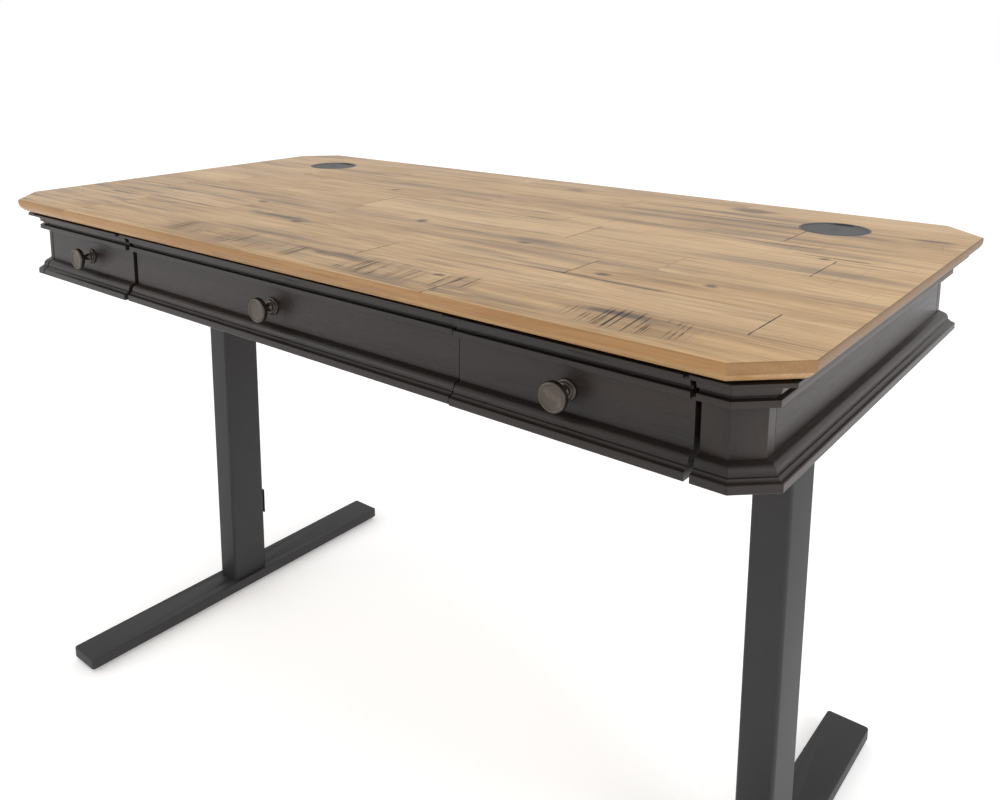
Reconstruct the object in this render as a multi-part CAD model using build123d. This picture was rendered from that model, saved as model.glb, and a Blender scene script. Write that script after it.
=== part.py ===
from build123d import *
import math
import os

# Height adjustable desk.  An oak top with cut corners lies on a dark moulded apron with three
# drawers, and two telescopic columns on long feet lift it.  X runs along the desk, Y to its back
# and Z up.  The origin is on the floor under the middle of the top.  All sizes are millimetres.

# Desktop
TOP_WIDTH = 1372.0
TOP_DEPTH = 742.0
TOP_HEIGHT = 848.0
TOP_THICKNESS = 24.5
TOP_CORNER_CUT = 57.0
TOP_UNDER_REACH = 30.0
TOP_UNDER_RISE = 20.0
TOP_UNDER_STEPS = 8
TOP_EASE = 1.5
UNDERSIDE = TOP_HEIGHT - TOP_THICKNESS

# Apron
APRON_INSET = 44.0
APRON_DROP = 131.5
APRON_CUT = 25.4
PANEL = 18.0
APRON_X = TOP_WIDTH / 2 - APRON_INSET
APRON_Y = TOP_DEPTH / 2 - APRON_INSET
APRON_BOTTOM = TOP_HEIGHT - APRON_DROP
POST_DEPTH = 43.0
BACK_POST_INNER = 600.0

# Drawer fronts along X, the stiles beside them, and how far each front sits back
FRONTS = {"left": (-605.0, -354.0), "middle": (-348.0, 299.5), "right": (302.0, 583.0)}
SETBACK = {"left": 0.0, "middle": 2.5, "right": 0.0}
STILE_LEFT = -607.0
STILE_RIGHT = 588.5
FRONT_GAP = 1.0

# Drawer carcass and boxes
PARTITION_BACK = -84.0
PARTITION_FRONT = -306.5
THIN_PARTITION = 12.0
RAIL_THICKNESS = 16.0
CARCASS_TOP = 797.0
RUNNER_GAP = 13.0
RUNNER_FRONT = -303.0
RUNNER_BACK = -86.0
RUNNER_Z = 755.0
SHEET = 1.2
BOX_BOARD = 12.0
BOX_BOTTOM = 6.0
BOX_BOTTOM_INSET = 3.0
BOX_Z = (726.0, 788.0)
BOX_BACK = -88.0

# Knobs
KNOB_DROP = 83.5
KNOB_STUD = 2.0
KNOB_STUD_DEPTH = 14.0

# Lift frame
COLUMN_X = 551.0
COLUMN = (50.0, 78.0)
COLUMN_CORNER = 6.0
COLUMN_WALL = 2.0
COLUMN_TOP = 636.0
BUSH_HEIGHT = 60.0
BUSH_FLANGE = 3.0
INNER = (42.0, 70.0)
INNER_CORNER = 4.0
INNER_BOTTOM = 155.0
SLIDE_PLAY = 0.3
GLIDE_LIFT = 3.0
GLIDE_HEIGHT = 38.0
HEAD_BOTTOM = 757.0
BRACKET_BOTTOM = 798.5
BRACKET_WIDTH = 60.0
BRACKET_HALF = 190.0
BRACKET_WALL = 2.5
BRACKET_SCREWS = (-170.0, -90.0, 90.0, 170.0)
WOOD_SCREW = (2.2, 15.0)
WOOD_SCREW_HEAD = (4.5, 2.8)
BEAM_Y = 36.0
BEAM_WIDTH = 20.0
BEAM_WALL = 2.0
GEARBOX = (60.0, 88.0)
GEARBOX_CORNER = 5.0
FLANGE_ROOT = 4.0
MOTOR_RADIUS = 21.0
MOTOR_FLANGE = 6.0
MOTOR_LENGTH = 110.0
MOTOR_Z = 776.0

# Lead screws and their nuts
SCREW_RADIUS = 6.0
SCREW_PLAY = 0.05
SCREW_BOTTOM = 162.0
SCREW_TOP = 777.0
NUT_BOTTOM = 577.0
NUT_TOP = 601.0
NUT_RADIUS = 15.0
NUT_FLANGE = 8.0
NUT_TUBE = (11.5, 9.0)

# Feet
FOOT_LENGTH = 716.0
FOOT_WIDTH = 64.0
FOOT_Z = (7.5, 25.5)
FOOT_WALL = 3.0
FOOT_CORNER = 5.0
FOOT_TOP_ROUND = 1.5
PLATE = 6.0
PLATE_CORNER = 3.5
PLATE_BOLTS = [(x, y) for x in (-14.0, 14.0) for y in (-26.0, 26.0)]
BOLT_RADIUS = 4.0
BOLT_HEAD = (6.5, 5.0)
LEVELLER_INSET = 28.0
LEVELLER_RADIUS = 22.0
LEVELLER_HEIGHT = 6.5
LEVELLER_HEXAGON = (7.5, 3.0)
LEVELLER_HEADROOM = 3.0
LEVELLER_BOSS = (9.0, 9.0)

# Grommets
GROMMET_X = 513.0
GROMMET_Y = 246.0
FLANGE_RADIUS = 47.3
BARREL_RADIUS = 45.0
BARREL_INNER = 43.5
BARREL_BOTTOM = 818.0
FLANGE_THICKNESS = 2.5
GROMMET_FIT = 0.2
CAP_RADIUS = 43.1
CAP_THICKNESS = 3.0
LEDGE_INNER = 41.0
LEDGE_THICKNESS = 3.0
NOTCH_WIDTH = 27.0
NOTCH_INNER = 33.0

# Electrics under the top
CONTROL = ((60.0, 306.0), (110.0, 200.0), (791.0, UNDERSIDE))
INLET = (14.0, 32.0, 24.0)
INLET_Z = 806.0
INLET_WALL = (3.0, 4.0)
SOCKET_HEIGHT = 16.0
HANDSET_CENTRE = (607.0, -266.0)
HANDSET = (34.0, 60.0)
HANDSET_BOTTOM = 702.0
BUTTON_RADIUS = 5.2
BUTTON_REACH = 14.0
BUTTON_PROUD = 1.4
BUTTON_WELL = 8.5
BUTTON_PLAY = 0.3
HANDSET_CABLE = 2.0
MOTOR_CABLE = 2.5
HANDSET_CABLE_Z = (709.0, 730.0, 780.0, 788.0, 790.0, 802.0)
MOTOR_CABLE_Z = (MOTOR_Z, 798.0, 803.0, 806.0)
CLIP = (24.0, 7.8, 50.0)
CLIP_WALL = 1.6
CLIP_LIP = 2.5
CLIP_BOTTOM = 140.0
CLIP_OFFSET = 6.0

UP = (0, 0, 1)
SIDES = {"left": -1, "right": 1}


def block(x, y, z):
    """A box from ranges along the three axes."""
    size = [high - low for low, high in (x, y, z)]
    middle = [(high + low) / 2 for low, high in (x, y, z)]
    return Pos(*middle) * Box(*size)


def prism(points, low, high):
    """A plan outline carried from one height to another."""
    face = Pos(0, 0, low) * make_face(Polyline(*points, close=True))
    return extrude(face, high - low, dir=UP)


def post(x, y, size, corner, low, high):
    """An upright bar with rounded corners."""
    return extrude(Pos(x, y, low) * RectangleRounded(*size, corner), high - low, dir=UP)


def tube(x, y, outer, corner, wall, low, high):
    """An upright rectangular tube."""
    inner = tuple(side - 2 * wall for side in outer)
    return post(x, y, outer, corner, low, high) - post(x, y, inner, corner - wall, low, high)


def rod(x, y, radius, low, high):
    """An upright round bar."""
    return extrude(Pos(x, y, low) * Circle(radius), high - low, dir=UP)


def shrunk(size, by):
    """A pair of sizes, each less by the same amount."""
    return tuple(side - by for side in size)


def octagon(half_x, half_y, cut):
    """Corners of a rectangle with cut corners, anticlockwise from the front left."""
    quarter = [(half_x - cut, -half_y), (half_x, cut - half_y)]
    right = quarter + [(x, -y) for x, y in reversed(quarter)]
    return [(-x, y) for x, y in quarter[:1]] + right + [(-x, y) for x, y in reversed(right)][:-1]


# Moulding sections: first number out from the panel, second down from the top surface
def crown_section():
    """Fillet under the top, cove, deep quirk and a square bead."""
    out, drop = 28.5, TOP_THICKNESS
    upper = Polyline((0, drop), (out, drop), (out, 28.8), (20.0, 29.6))
    cove = ThreePointArc((20.0, 29.6), (14.0, 34.0), (11.8, 41.0))
    lower = Polyline(
        (11.8, 41.0), (5.5, 42.0), (5.5, 46.2), (11.7, 46.2), (12.5, 47.0), (12.5, 52.6),
        (11.5, 53.6), (2.2, 53.6), (2.2, 55.2), (0, 55.6), (0, drop),
    )
    return make_face(upper + cove + lower)


def base_section():
    """Ovolo, small cove and a square plinth."""
    top = Polyline((0, 107.0), (3.6, 108.2))
    ovolo = ThreePointArc((3.6, 108.2), (9.6, 111.2), (11.5, 116.8))
    step = Polyline((11.5, 116.8), (11.5, 118.2), (13.6, 118.8))
    cove = ThreePointArc((13.6, 118.8), (15.2, 120.9), (18.6, 122.0))
    plinth = Polyline(
        (18.6, 122.0), (19.7, 122.8), (19.7, APRON_DROP - 0.8), (18.9, APRON_DROP),
        (0, APRON_DROP), (0, 107.0),
    )
    return make_face(top + ovolo + step + cove + plinth)


def moulding(section, start, end, mitres=(True, True), clearance=0.0):
    """One length of moulding on the panel line from start to end, cut square or mitred."""
    start, end = Vector(*start), Vector(*end)
    along = (end - start).normalized()
    outward = along.cross(Vector(*UP))
    reach = 40.0
    plane = Plane(start - along * reach + Vector(0, 0, TOP_HEIGHT), x_dir=outward, z_dir=along)
    bar = extrude(plane * section, (end - start).length + 2 * reach, dir=along)
    lean = [reach * math.tan(math.radians(22.5)) if mitred else 0.0 for mitred in mitres]
    corners = [
        start, end, end + outward * reach + along * lean[1], start + outward * reach - along * lean[0],
    ]
    return bar & prism([(c.X, c.Y) for c in corners], 0, UNDERSIDE - clearance)


def fixed_mouldings(section):
    """The lengths on the two stiles, the four cut corners, the sides and the back."""
    corners = octagon(APRON_X, APRON_Y, APRON_CUT)
    lengths = [
        moulding(section, (STILE_RIGHT, -APRON_Y), corners[1], (False, True)),
        moulding(section, corners[0], (STILE_LEFT, -APRON_Y), (True, False)),
    ]
    for number in range(1, len(corners)):
        lengths.append(moulding(section, corners[number], corners[(number + 1) % len(corners)]))
    return lengths


def desktop():
    """The board with its swept underside, eased upper edge, grommet holes and screw holes."""
    outline = octagon(TOP_WIDTH / 2, TOP_DEPTH / 2, TOP_CORNER_CUT)
    board = prism(outline, UNDERSIDE + TOP_UNDER_RISE, TOP_HEIGHT)
    board = fillet(board.faces().sort_by(Axis.Z)[-1].edges(), TOP_EASE)
    turns = [math.pi / 2 * step / TOP_UNDER_STEPS for step in range(TOP_UNDER_STEPS + 1)]
    rings = []
    for turn in turns:
        inset = TOP_UNDER_REACH * (1 - math.sin(turn))
        level = UNDERSIDE + TOP_UNDER_RISE * (1 - math.cos(turn))
        cut = TOP_CORNER_CUT - (2 - math.sqrt(2)) * inset
        ring = octagon(TOP_WIDTH / 2 - inset, TOP_DEPTH / 2 - inset, cut)
        rings.append(Wire(Polyline(*[(x, y, level) for x, y in ring], close=True).edges()))
    board += Solid.make_loft(rings, True)
    for sign in SIDES.values():
        board -= rod(sign * GROMMET_X, GROMMET_Y, BARREL_RADIUS + GROMMET_FIT, UNDERSIDE - 1, TOP_HEIGHT + 1)
        rebate = (TOP_HEIGHT - FLANGE_THICKNESS, TOP_HEIGHT + 1)
        board -= rod(sign * GROMMET_X, GROMMET_Y, FLANGE_RADIUS + GROMMET_FIT, *rebate)
        for y in BRACKET_SCREWS:
            board -= rod(sign * COLUMN_X, y, WOOD_SCREW[0] + SCREW_PLAY, UNDERSIDE - 1, UNDERSIDE + 16)
    return board


def corner_posts():
    """Two front posts that reach round to the drawers and two back posts."""
    corners = octagon(APRON_X, APRON_Y, APRON_CUT)
    inner_y = APRON_Y - POST_DEPTH
    posts = {"front": [], "back": []}
    for inner, near, far in ((STILE_LEFT, corners[0], corners[7]), (STILE_RIGHT, corners[1], corners[2])):
        outline = [(inner, -APRON_Y), near, far, (far[0], -inner_y), (inner, -inner_y)]
        posts["front"].append(prism(outline, APRON_BOTTOM, UNDERSIDE))
    for sign, near, far in ((-1, corners[5], corners[6]), (1, corners[4], corners[3])):
        inner = sign * BACK_POST_INNER
        outline = [(inner, APRON_Y), near, far, (far[0], inner_y), (inner, inner_y)]
        posts["back"].append(prism(outline, APRON_BOTTOM, UNDERSIDE))
    return posts


def partitions():
    """Ranges along X of the four boards that carry the drawer runners."""
    gaps = [(FRONTS["left"][1] + FRONTS["middle"][0]) / 2, (FRONTS["middle"][1] + FRONTS["right"][0]) / 2]
    boards = [(STILE_LEFT - THIN_PARTITION, STILE_LEFT)]
    boards += [(middle - THIN_PARTITION / 2, middle + THIN_PARTITION / 2) for middle in gaps]
    return boards + [(STILE_RIGHT, STILE_RIGHT + RAIL_THICKNESS)]


def carcass():
    """Partitions, and the rail behind the drawers."""
    boards = partitions()
    post_back = POST_DEPTH - APRON_Y
    fronts = [post_back, PARTITION_FRONT, PARTITION_FRONT, post_back]
    tops = [UNDERSIDE, UNDERSIDE, UNDERSIDE, CARCASS_TOP]
    walls = [
        block(x, (front, PARTITION_BACK), (APRON_BOTTOM, top))
        for x, front, top in zip(boards, fronts, tops)
    ]
    rail_y = (PARTITION_BACK, PARTITION_BACK + RAIL_THICKNESS)
    rail = block((boards[0][0], boards[3][1]), rail_y, (APRON_BOTTOM, CARCASS_TOP))
    return walls, rail


def channel(face, sign, web, lips, height):
    """A folded runner member: a web and two lips, measured from the partition's face."""
    y = (RUNNER_FRONT, RUNNER_BACK)
    web_x = sorted(face + sign * t for t in web)
    lip_x = sorted(face + sign * t for t in lips)
    low, high = RUNNER_Z - height / 2, RUNNER_Z + height / 2
    member = block(web_x, y, (low, high))
    member += block(lip_x, y, (low, low + SHEET))
    return member + block(lip_x, y, (high - SHEET, high))


def runner_pair(name, web, lips, height):
    """The same member on both sides of one drawer."""
    boards = partitions()
    bay = list(FRONTS).index(name)
    return [
        channel(boards[bay][1], 1, web, lips, height),
        channel(boards[bay + 1][0], -1, web, lips, height),
    ]


def drawer_front(name):
    """The front board with its own lengths of crown and base moulding."""
    low, high = FRONTS[name]
    back = Pos(0, SETBACK[name], 0)
    knob_x = (low + high) / 2
    board = block((low, high), (-APRON_Y, PANEL - APRON_Y), (APRON_BOTTOM, UNDERSIDE - FRONT_GAP))
    board -= Pos(knob_x, -APRON_Y, TOP_HEIGHT - KNOB_DROP) * Rot(90, 0, 0) * Cylinder(KNOB_STUD + 0.2, 80)
    line = ((low, -APRON_Y), (high, -APRON_Y), (False, False), FRONT_GAP)
    pieces = [board, moulding(crown_section(), *line), moulding(base_section(), *line)]
    return [back * piece for piece in pieces]


def drawer_box(name):
    """Two sides, a back and a bottom behind the front."""
    boards = partitions()
    bay = list(FRONTS).index(name)
    left, right = boards[bay][1] + RUNNER_GAP, boards[bay + 1][0] - RUNNER_GAP
    front = PANEL - APRON_Y + SETBACK[name]
    inner = (left + BOX_BOARD, right - BOX_BOARD)
    bottom = BOX_Z[0] + BOX_BOTTOM_INSET
    bottom_z = (bottom, bottom + BOX_BOTTOM)
    return [
        block((left, inner[0]), (front, BOX_BACK), BOX_Z),
        block((inner[1], right), (front, BOX_BACK), BOX_Z),
        block(inner, (BOX_BACK - BOX_BOARD, BOX_BACK), BOX_Z),
        block(inner, (front, BOX_BACK - BOX_BOARD), bottom_z),
    ]


def knob(name):
    """A turned knob: stud through the front, stepped rosette, neck and a rimmed disc."""
    x = sum(FRONTS[name]) / 2
    y = SETBACK[name] - APRON_Y
    stud = [(0, -KNOB_STUD_DEPTH), (KNOB_STUD, -KNOB_STUD_DEPTH), (KNOB_STUD, 0)]
    rosette = [(12.3, 0), (12.3, 1.6), (11.3, 2.6), (9.8, 2.6), (9.8, 4.2), (8.4, 5.4), (5.2, 6.0)]
    neck = [(4.4, 8.5), (4.4, 14.5), (5.6, 17.2), (9.5, 19.2)]
    disc = [(15.6, 20.6), (16.5, 21.8), (16.5, 26.4), (15.7, 27.6), (14.6, 28.2), (13.3, 28.2), (12.6, 27.2)]
    points = [(x + r, y - out) for r, out in stud + rosette + neck + disc + [(0, 27.0)]]
    section = make_face(Polyline(*points, close=True))
    turned = revolve(section, Axis((x, y, 0), (0, 1, 0)), 360)
    return Pos(0, 0, TOP_HEIGHT - KNOB_DROP) * turned


def foot(sign):
    """A long tray with rounded corners, open below, with bosses for the levellers."""
    x = sign * COLUMN_X
    outside = (FOOT_WIDTH, FOOT_LENGTH)
    under_web = FOOT_Z[1] - FOOT_WALL
    body = post(x, 0, outside, FOOT_CORNER, *FOOT_Z)
    body = fillet(body.faces().sort_by(Axis.Z)[-1].edges(), FOOT_TOP_ROUND)
    body -= post(x, 0, shrunk(outside, 2 * FOOT_WALL), FOOT_CORNER - FOOT_WALL, FOOT_Z[0], under_web)
    for end in (-1, 1):
        y = end * (FOOT_LENGTH / 2 - LEVELLER_INSET)
        boss_radius, boss_height = LEVELLER_BOSS
        body += rod(x, y, boss_radius, under_web - boss_height, under_web)
        body -= rod(x, y, BOLT_RADIUS + SCREW_PLAY, under_web - boss_height - 1, under_web)
    for dx, dy in PLATE_BOLTS:
        body -= rod(x + dx, dy, BOLT_RADIUS + 0.2, under_web - 1, FOOT_Z[1] + 1)
    return body


def leveller(side, end):
    """A round pad with a short hexagon and a stud that stops short of the foot's web."""
    x = SIDES[side] * COLUMN_X
    y = end * (FOOT_LENGTH / 2 - LEVELLER_INSET)
    pad = rod(x, y, LEVELLER_RADIUS, 0, LEVELLER_HEIGHT)
    pad = chamfer(pad.faces().sort_by(Axis.Z)[0].edges(), 1.2)
    radius, height = LEVELLER_HEXAGON
    hexagon = extrude(Pos(x, y, LEVELLER_HEIGHT) * RegularPolygon(radius, 6), height, dir=UP)
    stud_top = FOOT_Z[1] - FOOT_WALL - LEVELLER_HEADROOM
    return pad + hexagon + rod(x, y, BOLT_RADIUS, LEVELLER_HEIGHT, stud_top)


def base_plate(sign):
    """The plate welded in the foot of an outer tube."""
    x, low = sign * COLUMN_X, FOOT_Z[1]
    plate = post(x, 0, shrunk(COLUMN, 2 * COLUMN_WALL + 0.4), PLATE_CORNER, low, low + PLATE)
    for dx, dy in PLATE_BOLTS:
        plate -= rod(x + dx, dy, BOLT_RADIUS + 0.1, low - 1, low + PLATE + 1)
    return plate


def foot_bolts(sign):
    """Hexagon bolts up through the foot into the plate."""
    web = FOOT_Z[1] - FOOT_WALL
    radius, height = BOLT_HEAD
    bolts = []
    for dx, dy in PLATE_BOLTS:
        x = sign * COLUMN_X + dx
        head = extrude(Pos(x, dy, web - height) * RegularPolygon(radius, 6), height, dir=UP)
        bolts.append(head + rod(x, dy, BOLT_RADIUS, web, FOOT_Z[1] + PLATE))
    return bolts


def guide_bush(sign):
    """A plastic sleeve in the mouth of the outer tube, with a flange on its rim."""
    x = sign * COLUMN_X
    mouth = shrunk(COLUMN, 2 * COLUMN_WALL)
    bush = post(x, 0, mouth, COLUMN_CORNER - COLUMN_WALL, COLUMN_TOP - BUSH_HEIGHT, COLUMN_TOP)
    bush += post(x, 0, COLUMN, COLUMN_CORNER, COLUMN_TOP, COLUMN_TOP + BUSH_FLANGE)
    bore = shrunk(INNER, -2 * SLIDE_PLAY)
    through = (COLUMN_TOP - BUSH_HEIGHT - 1, COLUMN_TOP + BUSH_FLANGE + 1)
    return bush - post(x, 0, bore, INNER_CORNER + SLIDE_PLAY, *through)


def inner_glide(sign):
    """A plastic ring round the bottom of the inner tube."""
    x = sign * COLUMN_X
    outside = shrunk(COLUMN, 2 * COLUMN_WALL + 2 * SLIDE_PLAY)
    low = INNER_BOTTOM + GLIDE_LIFT
    high = low + GLIDE_HEIGHT
    ring = post(x, 0, outside, COLUMN_CORNER - COLUMN_WALL - SLIDE_PLAY, low, high)
    return ring - post(x, 0, INNER, INNER_CORNER, low, high)


def nut_tube(sign):
    """The tube that holds the nut up inside the column."""
    x, low = sign * COLUMN_X, FOOT_Z[1] + PLATE
    return rod(x, 0, NUT_TUBE[0], low, NUT_BOTTOM) - rod(x, 0, NUT_TUBE[1], low, NUT_BOTTOM)


def drive_nut(sign):
    """The flanged nut on the nut tube."""
    x = sign * COLUMN_X
    body = rod(x, 0, NUT_RADIUS, NUT_BOTTOM, NUT_BOTTOM + NUT_FLANGE)
    body += rod(x, 0, NUT_TUBE[0], NUT_BOTTOM, NUT_TOP)
    return body - rod(x, 0, SCREW_RADIUS + SCREW_PLAY, NUT_BOTTOM, NUT_TOP)


def gearbox(sign):
    """A cast head on the inner tube, with a flange for the motor and a bore for the screw."""
    x = sign * COLUMN_X
    body = post(x, 0, GEARBOX, GEARBOX_CORNER, HEAD_BOTTOM, BRACKET_BOTTOM)
    start = x - sign * (GEARBOX[0] / 2 - FLANGE_ROOT)
    turn = Plane((start, 0, MOTOR_Z), z_dir=(-sign, 0, 0))
    body += extrude(turn * Circle(MOTOR_RADIUS - 1), MOTOR_FLANGE + FLANGE_ROOT)
    return body - rod(x, 0, SCREW_RADIUS + SCREW_PLAY, HEAD_BOTTOM, SCREW_TOP + 1)


def motor(sign):
    """A motor that lies along the desk beside its gearbox."""
    start = sign * (COLUMN_X - GEARBOX[0] / 2 - MOTOR_FLANGE)
    plane = Plane((start, 0, MOTOR_Z), z_dir=(-sign, 0, 0))
    can = extrude(plane * Circle(MOTOR_RADIUS), MOTOR_LENGTH)
    return chamfer(can.edges().filter_by(GeomType.CIRCLE), 1.5)


def top_bracket(sign):
    """A channel across the column head, open below, screwed up into the desktop."""
    x, half = sign * COLUMN_X, BRACKET_WIDTH / 2
    span = (-BRACKET_HALF, BRACKET_HALF)
    web = block((x - half, x + half), span, (UNDERSIDE - BRACKET_WALL, UNDERSIDE))
    for y in BRACKET_SCREWS:
        web -= rod(x, y, WOOD_SCREW[0] + 0.2, UNDERSIDE - 5, UNDERSIDE + 1)
    for low in (x - half, x + half - BRACKET_WALL):
        web += block((low, low + BRACKET_WALL), span, (BRACKET_BOTTOM, UNDERSIDE))
    return web


def bracket_screws(sign):
    """Pan head wood screws from a bracket into the desktop."""
    x, web = sign * COLUMN_X, UNDERSIDE - BRACKET_WALL
    radius, depth = WOOD_SCREW
    head_radius, head = WOOD_SCREW_HEAD
    return [
        rod(x, y, head_radius, web - head, web) + rod(x, y, radius, web, UNDERSIDE + depth)
        for y in BRACKET_SCREWS
    ]


def crossbeam(y):
    """A rectangular tube between the two brackets."""
    reach = COLUMN_X - BRACKET_WIDTH / 2
    half = BEAM_WIDTH / 2
    outside = block((-reach, reach), (y - half, y + half), (BRACKET_BOTTOM, UNDERSIDE))
    inner = half - BEAM_WALL
    hollow = (BRACKET_BOTTOM + BEAM_WALL, UNDERSIDE - BEAM_WALL)
    return outside - block((-reach, reach), (y - inner, y + inner), hollow)


def lead_screw(sign):
    """The screw that hangs from the gearbox, drawn as its pitch cylinder."""
    screw = rod(sign * COLUMN_X, 0, SCREW_RADIUS, SCREW_BOTTOM, SCREW_TOP)
    return chamfer(screw.faces().sort_by(Axis.Z)[0].edges(), 1.0)


def grommet_liner(sign):
    """A ring let into the top, with a ledge that carries the cap."""
    x, y = sign * GROMMET_X, GROMMET_Y
    flange_low = TOP_HEIGHT - FLANGE_THICKNESS
    liner = rod(x, y, FLANGE_RADIUS, flange_low, TOP_HEIGHT)
    liner += rod(x, y, BARREL_RADIUS, BARREL_BOTTOM, flange_low)
    liner -= rod(x, y, BARREL_INNER, BARREL_BOTTOM - 1, TOP_HEIGHT + 1)
    high = TOP_HEIGHT - CAP_THICKNESS - 0.1
    low = high - LEDGE_THICKNESS
    return liner + rod(x, y, BARREL_INNER, low, high) - rod(x, y, LEDGE_INNER, low, high)


def grommet_cap(sign):
    """A flat cap with a cable notch in its back edge."""
    x, y = sign * GROMMET_X, GROMMET_Y
    cap = rod(0, 0, CAP_RADIUS, TOP_HEIGHT - CAP_THICKNESS, TOP_HEIGHT)
    cap = fillet(cap.faces().sort_by(Axis.Z)[-1].edges(), 0.6)
    half = NOTCH_WIDTH / 2
    cap -= block((-half, half), (NOTCH_INNER, CAP_RADIUS + 5), (TOP_HEIGHT - 10, TOP_HEIGHT + 1))
    return Pos(x, y, 0) * cap


def control_box():
    """The housing under the top that drives both motors."""
    body = block(*CONTROL)
    lower = body.faces().sort_by(Axis.Z)[0].edges()
    return fillet(lower, 3.0)


def mains_inlet():
    """A recessed three blade inlet on the end of the control box."""
    end, y, z = CONTROL[0][1], sum(CONTROL[1]) / 2, INLET_Z
    depth, width, height = INLET
    floor, wall = INLET_WALL
    inner = width / 2 - wall
    shell = block((end, end + depth), (y - width / 2, y + width / 2), (z - height / 2, z + height / 2))
    shell -= block(
        (end + floor, end + depth), (y - inner, y + inner), (z - SOCKET_HEIGHT / 2, z + SOCKET_HEIGHT / 2)
    )
    blades = [
        block((end + floor, end + depth - 2), (y + dy - 1, y + dy + 1), (z - 4.5, z - 0.5))
        for dy in (-7, 0, 7)
    ]
    return [shell] + blades


def handset():
    """The control pad under the right end of the apron, with wells for two buttons."""
    x, y = HANDSET_CENTRE
    body = post(x, y, HANDSET, 4.0, HANDSET_BOTTOM, APRON_BOTTOM)
    body = fillet(body.faces().sort_by(Axis.Z)[0].edges(), 1.5)
    for dy in (-BUTTON_REACH, BUTTON_REACH):
        well = (HANDSET_BOTTOM - 1, HANDSET_BOTTOM + BUTTON_WELL)
        body -= rod(x, y + dy, BUTTON_RADIUS + BUTTON_PLAY, *well)
    return body


def button(dy):
    """A round push button that stands a little out of the handset."""
    x, y = HANDSET_CENTRE
    top = HANDSET_BOTTOM + BUTTON_WELL - 2
    pad = rod(x, y + dy, BUTTON_RADIUS, HANDSET_BOTTOM - BUTTON_PROUD, top)
    return fillet(pad.faces().sort_by(Axis.Z)[0].edges(), 0.8)


def cable(points, radii, radius):
    """A round cable along straight runs joined by tangent arcs."""
    path = FilletPolyline(*points, radius=radii)
    first = Vector(*points[1]) - Vector(*points[0])
    swept = sweep(Plane(points[0], z_dir=first) * Circle(radius), path=path)
    expected = math.pi * radius**2 * path.length
    print("cable length", round(path.length, 1), "volume ratio", round(swept.volume / expected, 4))
    return swept


def cables():
    """The handset cable and the two motor cables, each held to the underside all the way."""
    hx, hy = HANDSET_CENTRE
    rear = hy + HANDSET[1] / 2
    left_end, right_start = CONTROL[0]
    box_front = CONTROL[1][0]
    motor_end = COLUMN_X - GEARBOX[0] / 2 - MOTOR_FLANGE - MOTOR_LENGTH
    exit_z, lift_z, under_z, along_z, turn_z, socket_z = HANDSET_CABLE_Z
    handset_route = [
        (hx, rear, exit_z), (hx, rear + 26, exit_z), (hx + 7, rear + 70, lift_z),
        (hx + 7, rear + 140, under_z), (hx + 7, 60, along_z), (hx - 20, 86, along_z),
        (right_start, 86, turn_z), (right_start - 22, 92, socket_z), (right_start - 22, box_front, socket_z),
    ]
    motor_z, rise_z, front_z, end_z = MOTOR_CABLE_Z
    left_route = [
        (-motor_end, 0, motor_z), (45 - motor_end, 0, motor_z), (95 - motor_end, 130, rise_z),
        (170 - motor_end, 150, end_z), (left_end, 150, end_z),
    ]
    right_route = [
        (motor_end, 0, motor_z), (motor_end - 40, 0, motor_z), (250, 70, front_z),
        (250, box_front, front_z),
    ]
    return (
        cable(handset_route, [20, 24, 24, 24, 16, 16, 8], HANDSET_CABLE),
        [cable(left_route, [24, 30, 30], MOTOR_CABLE), cable(right_route, [24, 24], MOTOR_CABLE)],
    )


def cable_clip():
    """A clip on the back of the left column, open at one side for a cable."""
    width, depth, height = CLIP
    low, start = CLIP_OFFSET - COLUMN_X - width / 2, COLUMN[1] / 2
    top = CLIP_BOTTOM + height
    body = block((low, low + width), (start, start + depth), (CLIP_BOTTOM, top))
    slot_x, slot_y = (low + CLIP_LIP, low + width + 1), (start + CLIP_WALL, start + depth - CLIP_WALL)
    return body - block(slot_x, slot_y, (CLIP_BOTTOM - 1, top + 1))


def both(make):
    """The same piece on the left and on the right."""
    return [make(sign) for sign in SIDES.values()]


def flat(groups):
    """One list from a list of lists."""
    return [piece for group in groups for piece in group]


os.makedirs("parts", exist_ok=True)


def save(node, *pieces):
    """Write one node: a single solid, or a group of separate ones."""
    solids = flat([piece.solids() for piece in pieces])
    shape = solids[0] if len(solids) == 1 else Compound(children=solids)
    export_step(shape, f"parts/{node}.step")


side_y = APRON_Y - POST_DEPTH
save("desktop", desktop())
for side, sign in SIDES.items():
    x = sorted((sign * APRON_X, sign * (APRON_X - PANEL)))
    save(f"side_panel_{side}", block(x, (-side_y, side_y), (APRON_BOTTOM, UNDERSIDE)))
back_x, back_y = (-BACK_POST_INNER, BACK_POST_INNER), (APRON_Y - PANEL, APRON_Y)
save("back_panel", block(back_x, back_y, (APRON_BOTTOM, UNDERSIDE)))
for place, pair in corner_posts().items():
    save(f"corner_posts_{place}", *pair)
save("crown_moulding", *fixed_mouldings(crown_section()))
save("base_moulding", *fixed_mouldings(base_section()))
walls, rail = carcass()
save("drawer_partitions", *walls)
save("drawer_rail", rail)

for name in FRONTS:
    save(f"drawer_front_{name}", *drawer_front(name))
    save(f"drawer_box_{name}", *drawer_box(name))
    save(f"drawer_runners_{name}", *runner_pair(name, (11.8, 13.0), (5.6, 13.0), 23.5))
    save(f"middle_runners_{name}", *runner_pair(name, (2.6, 3.8), (2.6, 10.5), 29.6))
    save(f"knob_{name}", knob(name))
cabinet_runners = [runner_pair(name, (0, 1.2), (0, 9.0), 35.0) for name in FRONTS]
save("cabinet_runners", *flat(cabinet_runners))

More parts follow.
